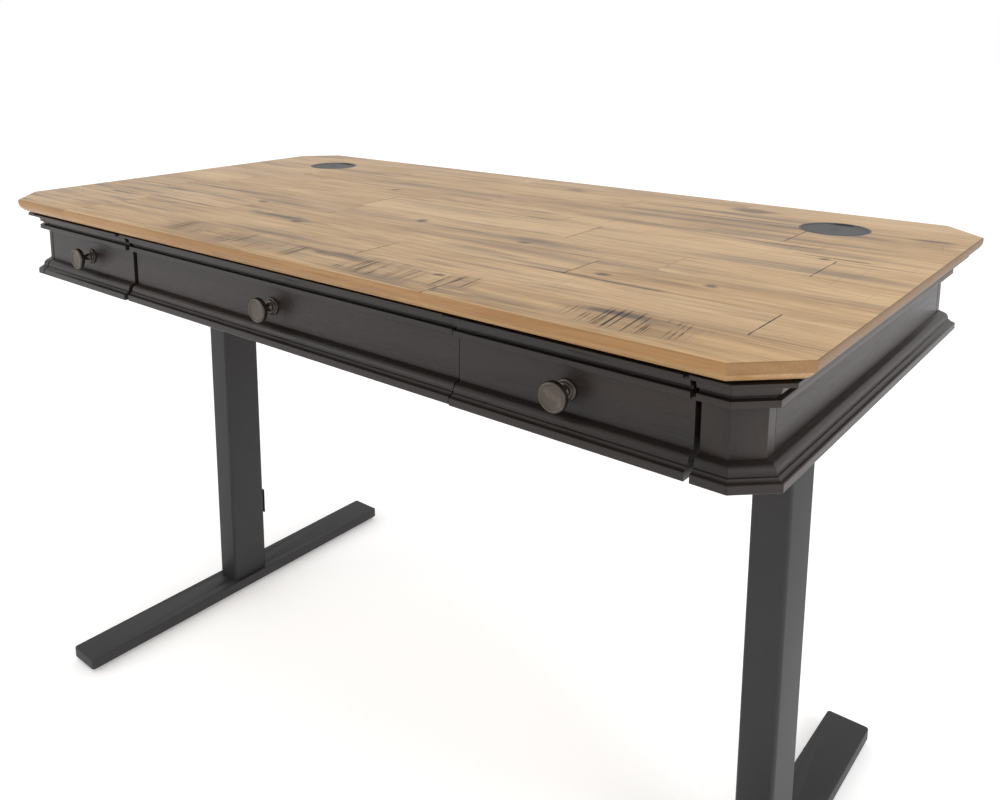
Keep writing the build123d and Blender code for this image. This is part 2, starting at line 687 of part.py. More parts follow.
for side, sign in SIDES.items():
    save(f"foot_{side}", foot(sign))
    low = FOOT_Z[1]
    outer = tube(sign * COLUMN_X, 0, COLUMN, COLUMN_CORNER, COLUMN_WALL, low, COLUMN_TOP)
    save(f"column_outer_{side}", outer)
    inner = tube(sign * COLUMN_X, 0, INNER, INNER_CORNER, COLUMN_WALL, INNER_BOTTOM, HEAD_BOTTOM)
    save(f"column_inner_{side}", inner)
    save(f"lead_screw_{side}", lead_screw(sign))
    save(f"grommet_cap_{side}", grommet_cap(sign))
    for place, end in {"front": -1, "back": 1}.items():
        save(f"leveller_{place}_{side}", leveller(side, end))
save("column_base_plates", *both(base_plate))
save("foot_bolts", *flat(both(foot_bolts)))
save("guide_bushes", *both(guide_bush))
save("inner_glides", *both(inner_glide))
save("nut_tubes", *both(nut_tube))
save("drive_nuts", *both(drive_nut))
save("cable_clip", cable_clip())
save("gearboxes", *both(gearbox))
save("motors", *both(motor))
save("top_brackets", *both(top_bracket))
save("crossbeams", crossbeam(-BEAM_Y), crossbeam(BEAM_Y))
save("bracket_screws", *flat(both(bracket_screws)))
save("grommet_liners", *both(grommet_liner))
save("control_box", control_box())
save("mains_inlet", *mains_inlet())
save("handset", handset())
save("up_button", button(-BUTTON_REACH))
save("down_button", button(BUTTON_REACH))
handset_cable, motor_cables = cables()
save("handset_cable", handset_cable)
save("motor_cables", *motor_cables)
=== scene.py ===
import logging
import math
import random
from dataclasses import dataclass
from enum import Enum
from functools import reduce
from operator import or_

import bmesh
import bpy
from mathutils import Matrix, Vector


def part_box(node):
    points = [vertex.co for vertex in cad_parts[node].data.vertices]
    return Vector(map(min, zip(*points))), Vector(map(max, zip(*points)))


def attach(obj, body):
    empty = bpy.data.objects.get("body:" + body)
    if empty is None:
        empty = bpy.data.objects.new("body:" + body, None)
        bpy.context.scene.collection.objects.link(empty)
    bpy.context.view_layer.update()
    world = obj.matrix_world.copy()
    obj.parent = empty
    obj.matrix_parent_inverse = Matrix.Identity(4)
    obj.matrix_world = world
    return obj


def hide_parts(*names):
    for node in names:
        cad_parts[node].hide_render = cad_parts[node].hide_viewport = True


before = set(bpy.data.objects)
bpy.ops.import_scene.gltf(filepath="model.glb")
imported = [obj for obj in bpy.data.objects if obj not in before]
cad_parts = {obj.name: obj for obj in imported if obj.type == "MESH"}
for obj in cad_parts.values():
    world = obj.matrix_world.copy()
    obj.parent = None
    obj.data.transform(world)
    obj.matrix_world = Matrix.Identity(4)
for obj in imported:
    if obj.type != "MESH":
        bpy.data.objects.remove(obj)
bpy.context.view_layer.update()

# A height adjustable desk: an oak top on a dark moulded apron with three drawers, carried by two
# telescopic steel columns.  Lengths are metres; MM turns the joiner's millimetres into them.
MM = 0.001
SEED = 41
UP = Vector((0, 0, 1))
SIDES = {"left": -1, "right": 1}
DRAWERS = ("left", "middle", "right")
MERGE = 4e-6  # corners of a made piece closer than this become one
CAD_MERGE = 1e-5  # and those of a CAD piece
POLE = 1e-9  # a turned profile nearer to its axis than this meets it in one point
FLAT_ANGLE = 0.6  # degrees; CAD faces that turn by less become one before their edges are rounded
log = logging.getLogger("desk")


def srgb(red: int, green: int, blue: int) -> tuple[float, float, float, float]:
    """The linear colour of a display colour, each part from 0 to 255."""
    parts = [part / 255 for part in (red, green, blue)]
    return (*[p / 12.92 if p <= 0.04045 else ((p + 0.055) / 1.055) ** 2.4 for p in parts], 1.0)


# ---------------------------------------------------------------------------------------------
# Shader and geometry graphs
# ---------------------------------------------------------------------------------------------
class Value:
    """A number socket that adds Math nodes when it is used in an expression."""

    def __init__(self, graph: "Graph", socket: bpy.types.NodeSocket) -> None:
        """Wraps one output socket of a graph."""
        self.graph = graph
        self.socket = socket

    def __add__(self, other: "Value | float") -> "Value":
        """This value plus another."""
        return self.graph.math("ADD", self, other)

    __radd__ = __add__

    def __mul__(self, other: "Value | float") -> "Value":
        """This value times another."""
        return self.graph.math("MULTIPLY", self, other)

    def __sub__(self, other: "Value | float") -> "Value":
        """This value less another."""
        return self.graph.math("SUBTRACT", self, other)

    def __rsub__(self, other: float) -> "Value":
        """A number less this value."""
        return self.graph.math("SUBTRACT", other, self)

    def __truediv__(self, other: "Value | float") -> "Value":
        """This value over another."""
        return self.graph.math("DIVIDE", self, other)

    def __or__(self, other: "Value | float") -> "Value":
        """The larger of two masks."""
        return self.graph.math("MAXIMUM", self, other)

    def wave(self) -> "Value":
        """A sine of the value, brought into 0 to 1."""
        return self.graph.math("SINE", self) * 0.5 + 0.5

    def between(self, low: float, high: float) -> "Value":
        """A smooth mask: 0 below low and 1 above high, or the other way round when low is higher."""
        node = self.graph.node(
            "ShaderNodeMapRange",
            {"interpolation_type": "SMOOTHSTEP"},
            {"Value": self, "From Min": low, "From Max": high},
        )
        return Value(self.graph, node.outputs[0])


class Graph:
    """A node tree with one method that adds any node."""

    def __init__(self, tree: bpy.types.NodeTree) -> None:
        """Starts from an empty tree."""
        self.tree = tree
        tree.nodes.clear()

    def node(self, kind: str, settings: dict | None = None, values: dict | None = None) -> bpy.types.Node:
        """Adds a node.

        Args:
            kind: the node's type name.
            settings: the node's own properties, and "stops" for a ramp, set before its sockets.
            values: numbers, colours or sockets for its inputs, by identifier or name.

        Returns:
            The new node.
        """
        made = self.tree.nodes.new(kind)
        for name, value in (settings or {}).items():
            if name == "stops":
                self._stops(made.color_ramp, value)
            else:
                setattr(made, name, value)
        for name, value in (values or {}).items():
            socket = next((s for s in made.inputs if s.identifier == name), None) or made.inputs[name]
            source = value.socket if isinstance(value, Value) else value
            if isinstance(source, bpy.types.NodeSocket):
                self.tree.links.new(source, socket)
            else:
                socket.default_value = source
        return made

    @staticmethod
    def _stops(ramp: bpy.types.ColorRamp, stops: list) -> None:
        """Gives a ramp its stops, each a place and a colour."""
        while len(ramp.elements) < len(stops):
            ramp.elements.new(1.0)
        for element, (place, colour) in zip(ramp.elements, stops):
            element.position, element.color = place, colour

    def math(self, operation: str, first: Value | float, second: Value | float = 0.0) -> Value:
        """One Math node on two values."""
        node = self.node("ShaderNodeMath", {"operation": operation}, {"Value": first, "Value_001": second})
        return Value(self, node.outputs[0])


class Shader(Graph):
    """The graph of one material around a Principled shader."""

    def __init__(self, name: str) -> None:
        """Makes the material and its shader."""
        self.material = bpy.data.materials.new(name)
        self.material.use_nodes = True
        super().__init__(self.material.node_tree)
        self.principled = self.node("ShaderNodeBsdfPrincipled")
        self.node("ShaderNodeOutputMaterial", values={"Surface": self.principled.outputs[0]})

    def place(self, turn: tuple = (0, 0, 0), scale: tuple = (1, 1, 1)) -> bpy.types.NodeSocket:
        """Object coordinates, turned by degrees and scaled."""
        source = self.node("ShaderNodeTexCoord").outputs["Object"]
        values = {"Vector": source, "Rotation": tuple(math.radians(angle) for angle in turn)}
        turned = self.node("ShaderNodeMapping", {"vector_type": "POINT"}, values).outputs[0]
        return self.scaled(turned, scale)

    def scaled(self, vector: bpy.types.NodeSocket, scale: tuple) -> bpy.types.NodeSocket:
        """A vector with each part multiplied."""
        values = {"Vector": vector, "Vector_001": scale}
        return self.node("ShaderNodeVectorMath", {"operation": "MULTIPLY"}, values).outputs["Vector"]

    def parts(self, vector: bpy.types.NodeSocket) -> list[Value]:
        """The three numbers of a vector."""
        node = self.node("ShaderNodeSeparateXYZ", values={"Vector": vector})
        return [Value(self, socket) for socket in node.outputs]

    def joined(self, x: Value | float, y: Value | float, z: Value | float) -> bpy.types.NodeSocket:
        """A vector from three numbers."""
        return self.node("ShaderNodeCombineXYZ", values={"X": x, "Y": y, "Z": z}).outputs[0]

    def noise(
        self, vector: bpy.types.NodeSocket, scale: float = 1.0, detail: float = 2.0, rough: float = 0.5,
    ) -> Value:
        """Smooth noise from 0 to 1.

        Args:
            vector: where to look it up.
            scale: how often it varies in a metre.
            detail: how many finer layers it has.
            rough: how strong the finer layers are.

        Returns:
            The noise.
        """
        values = {"Vector": vector, "Scale": scale, "Detail": detail, "Roughness": rough}
        return Value(self, self.node("ShaderNodeTexNoise", values=values).outputs[0])

    def cells(self, vector: bpy.types.NodeSocket, scale: float) -> Value:
        """Distance to the nearest of a scatter of points."""
        values = {"Vector": vector, "Scale": scale}
        return Value(self, self.node("ShaderNodeTexVoronoi", values=values).outputs["Distance"])

    def attribute(self, name: str) -> Value:
        """A number stored on the mesh."""
        node = self.node("ShaderNodeAttribute", {"attribute_name": name})
        return Value(self, node.outputs["Fac"])

    def mix(self, share: Value, first, second) -> bpy.types.NodeSocket:
        """A colour between two others, each a socket or a plain colour."""
        node = self.node(
            "ShaderNodeMix",
            {"data_type": "RGBA", "blend_type": "MIX", "clamp_factor": True},
            {"Factor_Float": share, "A_Color": first, "B_Color": second},
        )
        return next(s for s in node.outputs if s.identifier == "Result_Color")

    def ramp(self, value: Value, stops: list) -> bpy.types.NodeSocket:
        """A colour looked up between stops."""
        return self.node("ShaderNodeValToRGB", {"stops": stops}, {"Fac": value}).outputs[0]

    def relief(self, height: Value, depth: float, under=None) -> bpy.types.NodeSocket:
        """A bumped normal, with its depth in metres, on top of another."""
        values = {"Height": height, "Distance": depth, "Strength": 1.0}
        if under is not None:
            values["Normal"] = under
        return self.node("ShaderNodeBump", values=values).outputs[0]

    def dress(self, **values) -> bpy.types.Material:
        """Sets the shader's sockets, named with _ for a space, and gives the material."""
        for name, value in values.items():
            socket = self.principled.inputs[name.replace("_", " ").title().replace("Ior", "IOR")]
            source = value.socket if isinstance(value, Value) else value
            if isinstance(source, bpy.types.NodeSocket):
                self.tree.links.new(source, socket)
            else:
                socket.default_value = source
        return self.material


class Recipe(Graph):
    """A Geometry Nodes tree with named inputs, used once and turned into a plain mesh."""

    def __init__(self, name: str, inputs: dict[str, object]) -> None:
        """Makes the tree.

        Args:
            name: the tree's name.
            inputs: each input's name and value: a number, a whole number, an object or a material.
        """
        super().__init__(bpy.data.node_groups.new(name, "GeometryNodeTree"))
        kinds = {
            float: "NodeSocketFloat", int: "NodeSocketInt",
            bpy.types.Object: "NodeSocketObject", bpy.types.Material: "NodeSocketMaterial",
        }
        face = self.tree.interface
        face.new_socket("Geometry", in_out="INPUT", socket_type="NodeSocketGeometry")
        face.new_socket("Geometry", in_out="OUTPUT", socket_type="NodeSocketGeometry")
        self.sockets = {
            key: face.new_socket(key, in_out="INPUT", socket_type=kinds[type(value)]).identifier
            for key, value in inputs.items()
        }
        self.values = inputs
        self.source = self.node("NodeGroupInput")
        self.sink = self.node("NodeGroupOutput")

    def given(self, name: str) -> bpy.types.NodeSocket:
        """The socket of a named input."""
        return self.source.outputs[name]

    def seated(self, thing: str, spin: bpy.types.NodeSocket | None = None) -> bpy.types.NodeSocket:
        """An object on every point of the mesh, its Z axis the way that the point faces.

        Args:
            thing: the name of the input that holds the object.
            spin: a turn about that axis, if there is one.

        Returns:
            The instances.
        """
        facing = self.node(
            "GeometryNodeInputNamedAttribute", {"data_type": "FLOAT_VECTOR"}, {"Name": "facing"},
        )
        rotation = self.node(
            "FunctionNodeAlignRotationToVector", {"axis": "Z"}, {"Vector": facing.outputs["Attribute"]},
        ).outputs[0]
        if spin is not None:
            rotation = self.node(
                "FunctionNodeRotateRotation", {"rotation_space": "LOCAL"},
                {"Rotation": rotation, "Rotate By": spin},
            ).outputs[0]
        info = self.node("GeometryNodeObjectInfo", values={"Object": self.given(thing)})
        values = {
            "Points": self.given("Geometry"), "Instance": info.outputs["Geometry"], "Rotation": rotation,
        }
        return self.node("GeometryNodeInstanceOnPoints", values=values).outputs[0]

    def close(self, geometry: bpy.types.NodeSocket) -> None:
        """Realizes the instances, sets the material and joins the result to the output."""
        real = self.node("GeometryNodeRealizeInstances", values={"Geometry": geometry})
        values = {"Geometry": real.outputs[0], "Material": self.given("Finish")}
        finished = self.node("GeometryNodeSetMaterial", values=values)
        self.tree.links.new(finished.outputs[0], self.sink.inputs[0])

    def mesh(self, base: bpy.types.Mesh) -> bpy.types.Mesh:
        """Runs the tree on a mesh and gives the plain mesh that it makes."""
        carrier = bpy.data.objects.new(self.tree.name, base)
        bpy.context.scene.collection.objects.link(carrier)
        modifier = carrier.modifiers.new(self.tree.name, "NODES")
        modifier.node_group = self.tree
        for key, identifier in self.sockets.items():
            modifier[identifier] = self.values[key]
        carrier.update_tag()
        graph = bpy.context.evaluated_depsgraph_get()
        made = bpy.data.meshes.new_from_object(carrier.evaluated_get(graph))
        bpy.data.objects.remove(carrier)
        return made


# ---------------------------------------------------------------------------------------------
# Finishes
# ---------------------------------------------------------------------------------------------
class Grain(Enum):
    """The way the fibres of a wooden piece run, as the turn in degrees that lays them along X."""

    ALONG = (0, 0, 0)
    ACROSS = (0, 0, 90)
    UPRIGHT = (0, 90, 0)


@dataclass(frozen=True)
class Mark:
    """A knot or a patch on the desktop: its centre and half sizes, in millimetres."""

    x: float
    y: float
    half_x: float
    half_y: float

    def distance(self, shader: Shader, x: Value, y: Value) -> Value:
        """How far a place is from the centre, 1 on the mark's edge."""
        east = (x - self.x * MM) / (self.half_x * MM)
        north = (y - self.y * MM) / (self.half_y * MM)
        return shader.math("SQRT", east * east + north * north)


@dataclass(frozen=True)
class OiledOak:
    """Oiled oak boards, each with its own figure, and with mineral streaks, knots and saw marks."""

    pale: tuple = srgb(204, 172, 130)
    honey: tuple = srgb(178, 144, 102)
    brown: tuple = srgb(142, 112, 78)
    grey: tuple = srgb(112, 96, 82)
    streak: tuple = srgb(74, 62, 53)
    dark: tuple = srgb(38, 31, 27)
    # the golden tone of the outer edge, darkened as painted shade on the upright band
    rim: tuple = srgb(142, 98, 46)
    end_grain: tuple = srgb(100, 76, 50)
    knots: tuple = (
        Mark(393, -180, 15, 12), Mark(512, -148, 13, 10), Mark(225, -100, 17, 13),
        Mark(22, -76, 14, 18), Mark(-120, -196, 18, 12), Mark(250, -300, 13, 9),
        Mark(565, 55, 13, 9), Mark(-200, 105, 14, 16), Mark(-290, -122, 17, 11),
    )
    sawn: tuple = (
        Mark(176, -322, 82, 38), Mark(505, -318, 76, 36), Mark(284, -318, 26, 40),
        Mark(-40, -325, 110, 34), Mark(648, 222, 30, 26), Mark(-210, -318, 60, 30),
    )
    stains: tuple = (
        Mark(490, -303, 52, 14), Mark(370, 305, 55, 24), Mark(52, 300, 30, 12),
        Mark(-170, -185, 110, 16), Mark(640, 245, 60, 8), Mark(90, -305, 90, 16),
        Mark(125, 92, 62, 6), Mark(-500, -133, 90, 8), Mark(-560, -214, 60, 8),
        Mark(400, -202, 190, 6), Mark(150, 50, 60, 6), Mark(560, 66, 90, 5),
    )

    def material(self) -> bpy.types.Material:
        """Builds the finish."""
        s = Shader("oiled_oak")
        seed, tone = s.attribute("board_seed"), s.attribute("board_tone")
        seam, rim, end = s.attribute("seam"), s.attribute("rim"), s.attribute("end")
        x, y, z = s.parts(s.place())
        own = s.joined(x + seed * 17.0, y + seed * 5.3, z + seed * 3.1)
        wander = s.noise(s.scaled(own, (1.6, 7, 7)), detail=3)
        fibre = s.noise(s.scaled(own, (9, 420, 420)), detail=4, rough=0.62)
        pores = s.noise(s.scaled(own, (46, 1500, 1500)), detail=1)
        rings = ((y + seed * 5.3) * 410 + wander * 90 + z * 300).wave()
        blotch = s.noise(s.scaled(own, (4.5, 26, 26)), detail=4, rough=0.6)
        colour = s.ramp(
            fibre * 0.42 + wander * 0.2 + blotch * 0.34 + rings * 0.04,
            [(0.36, self.brown), (0.48, self.honey), (0.62, self.pale)],
        )
        colour = s.mix(tone.between(-0.05, -1.0) * 0.42, colour, self.brown)
        colour = s.mix(tone.between(0.05, 1.0) * 0.5, colour, self.pale)
        # grey brown weathering in long soft runs
        runs = s.noise(s.scaled(own, (2.4, 34, 34)), detail=4, rough=0.6).between(0.5, 0.64)
        areas = s.noise(s.place(scale=(2.2, 3.4, 3.4)), detail=1).between(0.40, 0.6)
        colour = s.mix(runs * (areas * 0.5 + 0.16), colour, self.grey)
        thin = s.noise(s.scaled(own, (3.2, 95, 95)), detail=4, rough=0.6).between(0.555, 0.66)
        colour = s.mix(thin * (areas * 0.5 + 0.2), colour, self.streak)
        ragged = s.noise(s.place(scale=(26, 90, 90)), detail=3)

        def spots(marks: tuple, fray: float, outer: float, inner: float) -> Value:
            """A mask of listed marks, from their outer to their inner bound, with frayed edges."""
            frays = ragged * fray
            return reduce(or_, [(mark.distance(s, x, y) + frays).between(outer, inner) for mark in marks])

        stained = spots(self.stains, 1.3, 1.62, 0.85)
        colour = s.mix(stained * (fibre.between(0.3, 0.62) * 0.55 + 0.36), colour, self.streak)
        eyes = spots(self.knots, 0.9, 1.32, 0.62)
        colour = s.mix(eyes * 0.85, colour, self.streak)
        # cuts of the saw across the fibres
        patch = spots(self.sawn, 0.8, 1.62, 0.95)
        slant = s.joined(x + y * 0.12, y, z)
        teeth = s.noise(s.scaled(slant, (430, 5, 5)), detail=1).between(0.56, 0.62)
        breaks = s.noise(s.place(scale=(26, 15, 15)), detail=2).between(0.40, 0.52)
        cuts = patch * teeth * breaks
        colour = s.mix(patch * fibre.between(0.3, 0.6) * 0.3, colour, self.streak)
        colour = s.mix(cuts * 0.92, colour, self.dark)
        faint = s.noise(s.place(scale=(250, 5, 5)), detail=2).between(0.60, 0.72) * areas
        colour = s.mix(faint * 0.22, colour, self.streak)
        # the outer edge is more golden and carries painted shade, its end grain browner, and the seams are
        # dark
        colour = s.mix(rim * 0.7, colour, self.rim)
        colour = s.mix(end * 0.8, colour, self.end_grain)
        filled = s.noise(s.place(scale=(7, 60, 60))).between(0.35, 0.6) * 0.5 + 0.5
        colour = s.mix(seam * filled, colour, self.dark)
        rough = 0.40 + fibre * 0.16 + cuts * 0.2
        normal = s.relief(fibre * 0.5 + pores.between(0.62, 0.5) * 0.5, 0.00022)
        normal = s.relief(1.0 - cuts - eyes * 0.3, 0.00035, normal)
        return s.dress(base_color=colour, roughness=rough, normal=normal, specular_ior_level=0.35)


@dataclass(frozen=True)
class StainedWood:
    """Dark satin stain over close grained wood."""

    name: str
    grain: Grain
    base: tuple = srgb(33, 28, 26)
    warm: tuple = srgb(45, 35, 31)
    deep: tuple = srgb(16, 14, 13)
    rough: float = 0.27

    def material(self) -> bpy.types.Material:
        """Builds the finish."""
        s = Shader(self.name)
        turned = s.place(turn=self.grain.value)
        fibre = s.noise(s.scaled(turned, (8, 380, 380)), detail=4, rough=0.6)
        broad = s.noise(s.scaled(turned, (2.0, 30, 30)), detail=3)
        cloud = s.noise(s.place(scale=(4, 4, 4)), detail=2)
        pores = s.noise(s.scaled(turned, (60, 1700, 1700)), detail=1).between(0.60, 0.72)
        colour = s.mix(broad.between(0.35, 0.7) * 0.7, self.base, self.warm)
        colour = s.mix(fibre.between(0.45, 0.25) * 0.65, colour, self.deep)
        colour = s.mix(cloud.between(0.55, 0.75) * 0.35, colour, self.warm)
        colour = s.mix(pores * 0.45, colour, self.deep)
        rough = self.rough + fibre * 0.14 + cloud * 0.06
        normal = s.relief(fibre * 0.6 + pores * -0.6, 0.00012)
        normal = s.relief(s.noise(s.place(scale=(240, 240, 240)), detail=1), 0.00003, normal)
        return s.dress(base_color=colour, roughness=rough, normal=normal, specular_ior_level=0.3)


@dataclass(frozen=True)
class Birch:
    """Lacquered birch ply, whose edges show their layers."""

    face: tuple = srgb(206, 172, 128)
    flame: tuple = srgb(220, 190, 148)
    layer: tuple = srgb(168, 128, 84)

    def material(self, grain: Grain) -> bpy.types.Material:
        """Builds the finish with its fibres one way."""
        s = Shader(f"birch_{grain.name.lower()}")
        turned = s.place(turn=grain.value)
        fibre = s.noise(s.scaled(turned, (6, 260, 260)), detail=4)
        flame = s.noise(s.scaled(turned, (3, 22, 22)), detail=2)
        plies = s.attribute("ply")
        colour = s.mix(flame.between(0.35, 0.7) * 0.5, self.face, self.flame)
        colour = s.mix(fibre.between(0.55, 0.75) * 0.4, colour, self.layer)
        colour = s.mix(plies * 0.75, colour, self.layer)
        normal = s.relief(fibre, 0.00008)
        return s.dress(base_color=colour, roughness=0.38 + fibre * 0.12, normal=normal)


@dataclass(frozen=True)
class PowderCoat:
    """Charcoal powder coat with a fine orange peel."""

    name: str = "charcoal_coat"
    base: tuple = srgb(46, 45, 46)
    light: tuple = srgb(58, 57, 58)
    rough: float = 0.46

    def material(self) -> bpy.types.Material:
        """Builds the finish."""
        s = Shader(self.name)
        grit = s.noise(s.place(scale=(1, 1, 1)), 1500, detail=2)
        peel = s.noise(s.place(), 420, detail=1)
        cloud = s.noise(s.place(), 9, detail=2)
        colour = s.mix(grit.between(0.5, 0.75) * 0.5, self.base, self.light)
        colour = s.mix(cloud.between(0.45, 0.75) * 0.18, colour, self.light)
        normal = s.relief(grit, 0.00006, s.relief(peel, 0.00012))
        rough = self.rough + grit * 0.12 + cloud * 0.05
        return s.dress(base_color=colour, roughness=rough, normal=normal, specular_ior_level=0.25)


@dataclass(frozen=True)
class BareMetal:
    """Plated or machined metal with fine scratches one way and a little tarnish."""

    name: str
    base: tuple
    tarnish: tuple
    rough: float = 0.3
    scratch: tuple = (20, 900, 900)

    def material(self) -> bpy.types.Material:
        """Builds the finish."""
        s = Shader(self.name)
        lines = s.noise(s.place(scale=self.scratch), detail=2)
        cloud = s.noise(s.place(), 40, detail=3)
        spots = s.cells(s.place(), 260).between(0.5, 0.2)
        colour = s.mix(cloud.between(0.4, 0.75) * 0.5, self.base, self.tarnish)
        colour = s.mix(spots * 0.12, colour, self.tarnish)
        rough = self.rough + lines * 0.15 + cloud * 0.1
        normal = s.relief(lines, 0.00003)
        return s.dress(base_color=colour, roughness=rough, normal=normal, metallic=1.0)


@dataclass(frozen=True)
class DarkBronze:
    """Blackened bronze, rubbed lighter in places."""

    base: tuple = srgb(78, 71, 66)
    rubbed: tuple = srgb(128, 114, 99)

    def material(self) -> bpy.types.Material:
        """Builds the finish."""
        s = Shader("dark_bronze")
        cloud = s.noise(s.place(), 70, detail=3)
        grit = s.noise(s.place(), 1400, detail=1)
        colour = s.mix(cloud.between(0.5, 0.8) * 0.5, self.base, self.rubbed)
        rough = 0.24 + cloud * 0.16 + grit * 0.06
        return s.dress(base_color=colour, roughness=rough, normal=s.relief(grit, 0.00002), metallic=0.85)


@dataclass(frozen=True)
class MouldedPlastic:
    """Plastic from a spark eroded mould."""

    name: str
    base: tuple
    grit: float = 1100
    rough: float = 0.5
    depth: float = 0.00005

    def material(self) -> bpy.types.Material:
        """Builds the finish."""
        s = Shader(self.name)
        texture = s.noise(s.place(), self.grit, detail=2)
        cloud = s.noise(s.place(), 25, detail=2)
        lighter = tuple(min(1.0, part * 1.35 + 0.004) for part in self.base[:3]) + (1.0,)
        colour = s.mix(texture.between(0.45, 0.7) * 0.5, self.base, lighter)
        colour = s.mix(cloud.between(0.5, 0.8) * 0.2, colour, lighter)
        rough = self.rough + texture * 0.14 + cloud * 0.05
        return s.dress(base_color=colour, roughness=rough, normal=s.relief(texture, self.depth))


@dataclass(frozen=True)
class CastAlloy:
    """Sand blasted cast aluminium."""

    base: tuple = srgb(150, 150, 152)
    stain: tuple = srgb(104, 103, 104)

    def material(self) -> bpy.types.Material:
        """Builds the finish."""
        s = Shader("cast_alloy")
        grain = s.noise(s.place(), 700, detail=3)
        cloud = s.noise(s.place(), 30, detail=2)
        colour = s.mix(cloud.between(0.4, 0.75) * 0.6, self.base, self.stain)
        colour = s.mix(grain.between(0.5, 0.75) * 0.3, colour, self.stain)
        rough = 0.48 + grain * 0.2
        return s.dress(base_color=colour, roughness=rough, normal=s.relief(grain, 0.00012), metallic=0.9)


class Finishes:
    """Every material of the desk, made once."""

    def __init__(self) -> None:
        """Builds them all."""
        self.oak = OiledOak().material()
        self.stain = {g: StainedWood(f"stain_{g.name.lower()}", g).material() for g in Grain}
        carcass = (srgb(58, 47, 40), srgb(78, 60, 48), srgb(38, 30, 26), 0.5)
        self.carcass = {g: StainedWood(f"carcass_{g.name.lower()}", g, *carcass).material() for g in Grain}
        self.birch = {g: Birch().material(g) for g in Grain}
        self.coat = PowderCoat().material()
        self.zinc = BareMetal("zinc_plate", srgb(176, 178, 180), srgb(138, 142, 148)).material()
        self.steel = BareMetal(
            "screw_steel", srgb(150, 150, 152), srgb(108, 108, 112), 0.26, (900, 900, 40),
        ).material()
        self.brass = BareMetal("nut_bronze", srgb(196, 158, 88), srgb(146, 108, 58), 0.3).material()
        self.bronze = DarkBronze().material()
        self.black = MouldedPlastic("black_plastic", srgb(36, 36, 37)).material()
        self.grey = MouldedPlastic("grommet_plastic", srgb(60, 60, 61), 800, 0.52, 0.00008).material()
        self.ridge = MouldedPlastic("grommet_ring", srgb(52, 51, 51), 800, 0.42, 0.00005).material()
        self.rubber = MouldedPlastic("button_rubber", srgb(88, 88, 90), 500, 0.7, 0.00004).material()
        self.jacket = MouldedPlastic("cable_jacket", srgb(30, 30, 31), 300, 0.55, 0.00004).material()
        self.enamel = PowderCoat("motor_enamel", srgb(34, 34, 36), srgb(46, 46, 48), 0.32).material()
        self.mark = MouldedPlastic("button_mark", srgb(214, 214, 212), 600, 0.5, 0.00002).material()
        self.alloy = CastAlloy().material()


# ---------------------------------------------------------------------------------------------
# Mesh work
# ---------------------------------------------------------------------------------------------
def arc(start: tuple, through: tuple, end: tuple, steps: int = 6) -> list[tuple]:
    """Points on the arc through three points, without the first."""
    (ax, ay), (bx, by), (cx, cy) = start, through, end
    double = 2 * (ax * (by - cy) + bx * (cy - ay) + cx * (ay - by))
    squares = [ax * ax + ay * ay, bx * bx + by * by, cx * cx + cy * cy]
    ox = (squares[0] * (by - cy) + squares[1] * (cy - ay) + squares[2] * (ay - by)) / double
    oy = (squares[0] * (cx - bx) + squares[1] * (ax - cx) + squares[2] * (bx - ax)) / double
    radius = math.hypot(ax - ox, ay - oy)
    turns = [math.atan2(y - oy, x - ox) for x, y in (start, through, end)]
    whole = (turns[2] - turns[0]) % math.tau
    if (turns[1] - turns[0]) % math.tau > whole:
        whole -= math.tau
    angles = [turns[0] + whole * step / steps for step in range(1, steps + 1)]
    return [(ox + radius * math.cos(a), oy + radius * math.sin(a)) for a in angles]


def soften(piece: bpy.types.Object, width: float, angle: float = 30.0, segments: int = 2) -> None:
    """Rounds a piece's edges with a live bevel."""
    bevel = piece.modifiers.new("eased_edges", "BEVEL")
    bevel.limit_method = "ANGLE"
    bevel.angle_limit = math.radians(angle)
    bevel.width = width
    bevel.segments = segments
    bevel.harden_normals = True


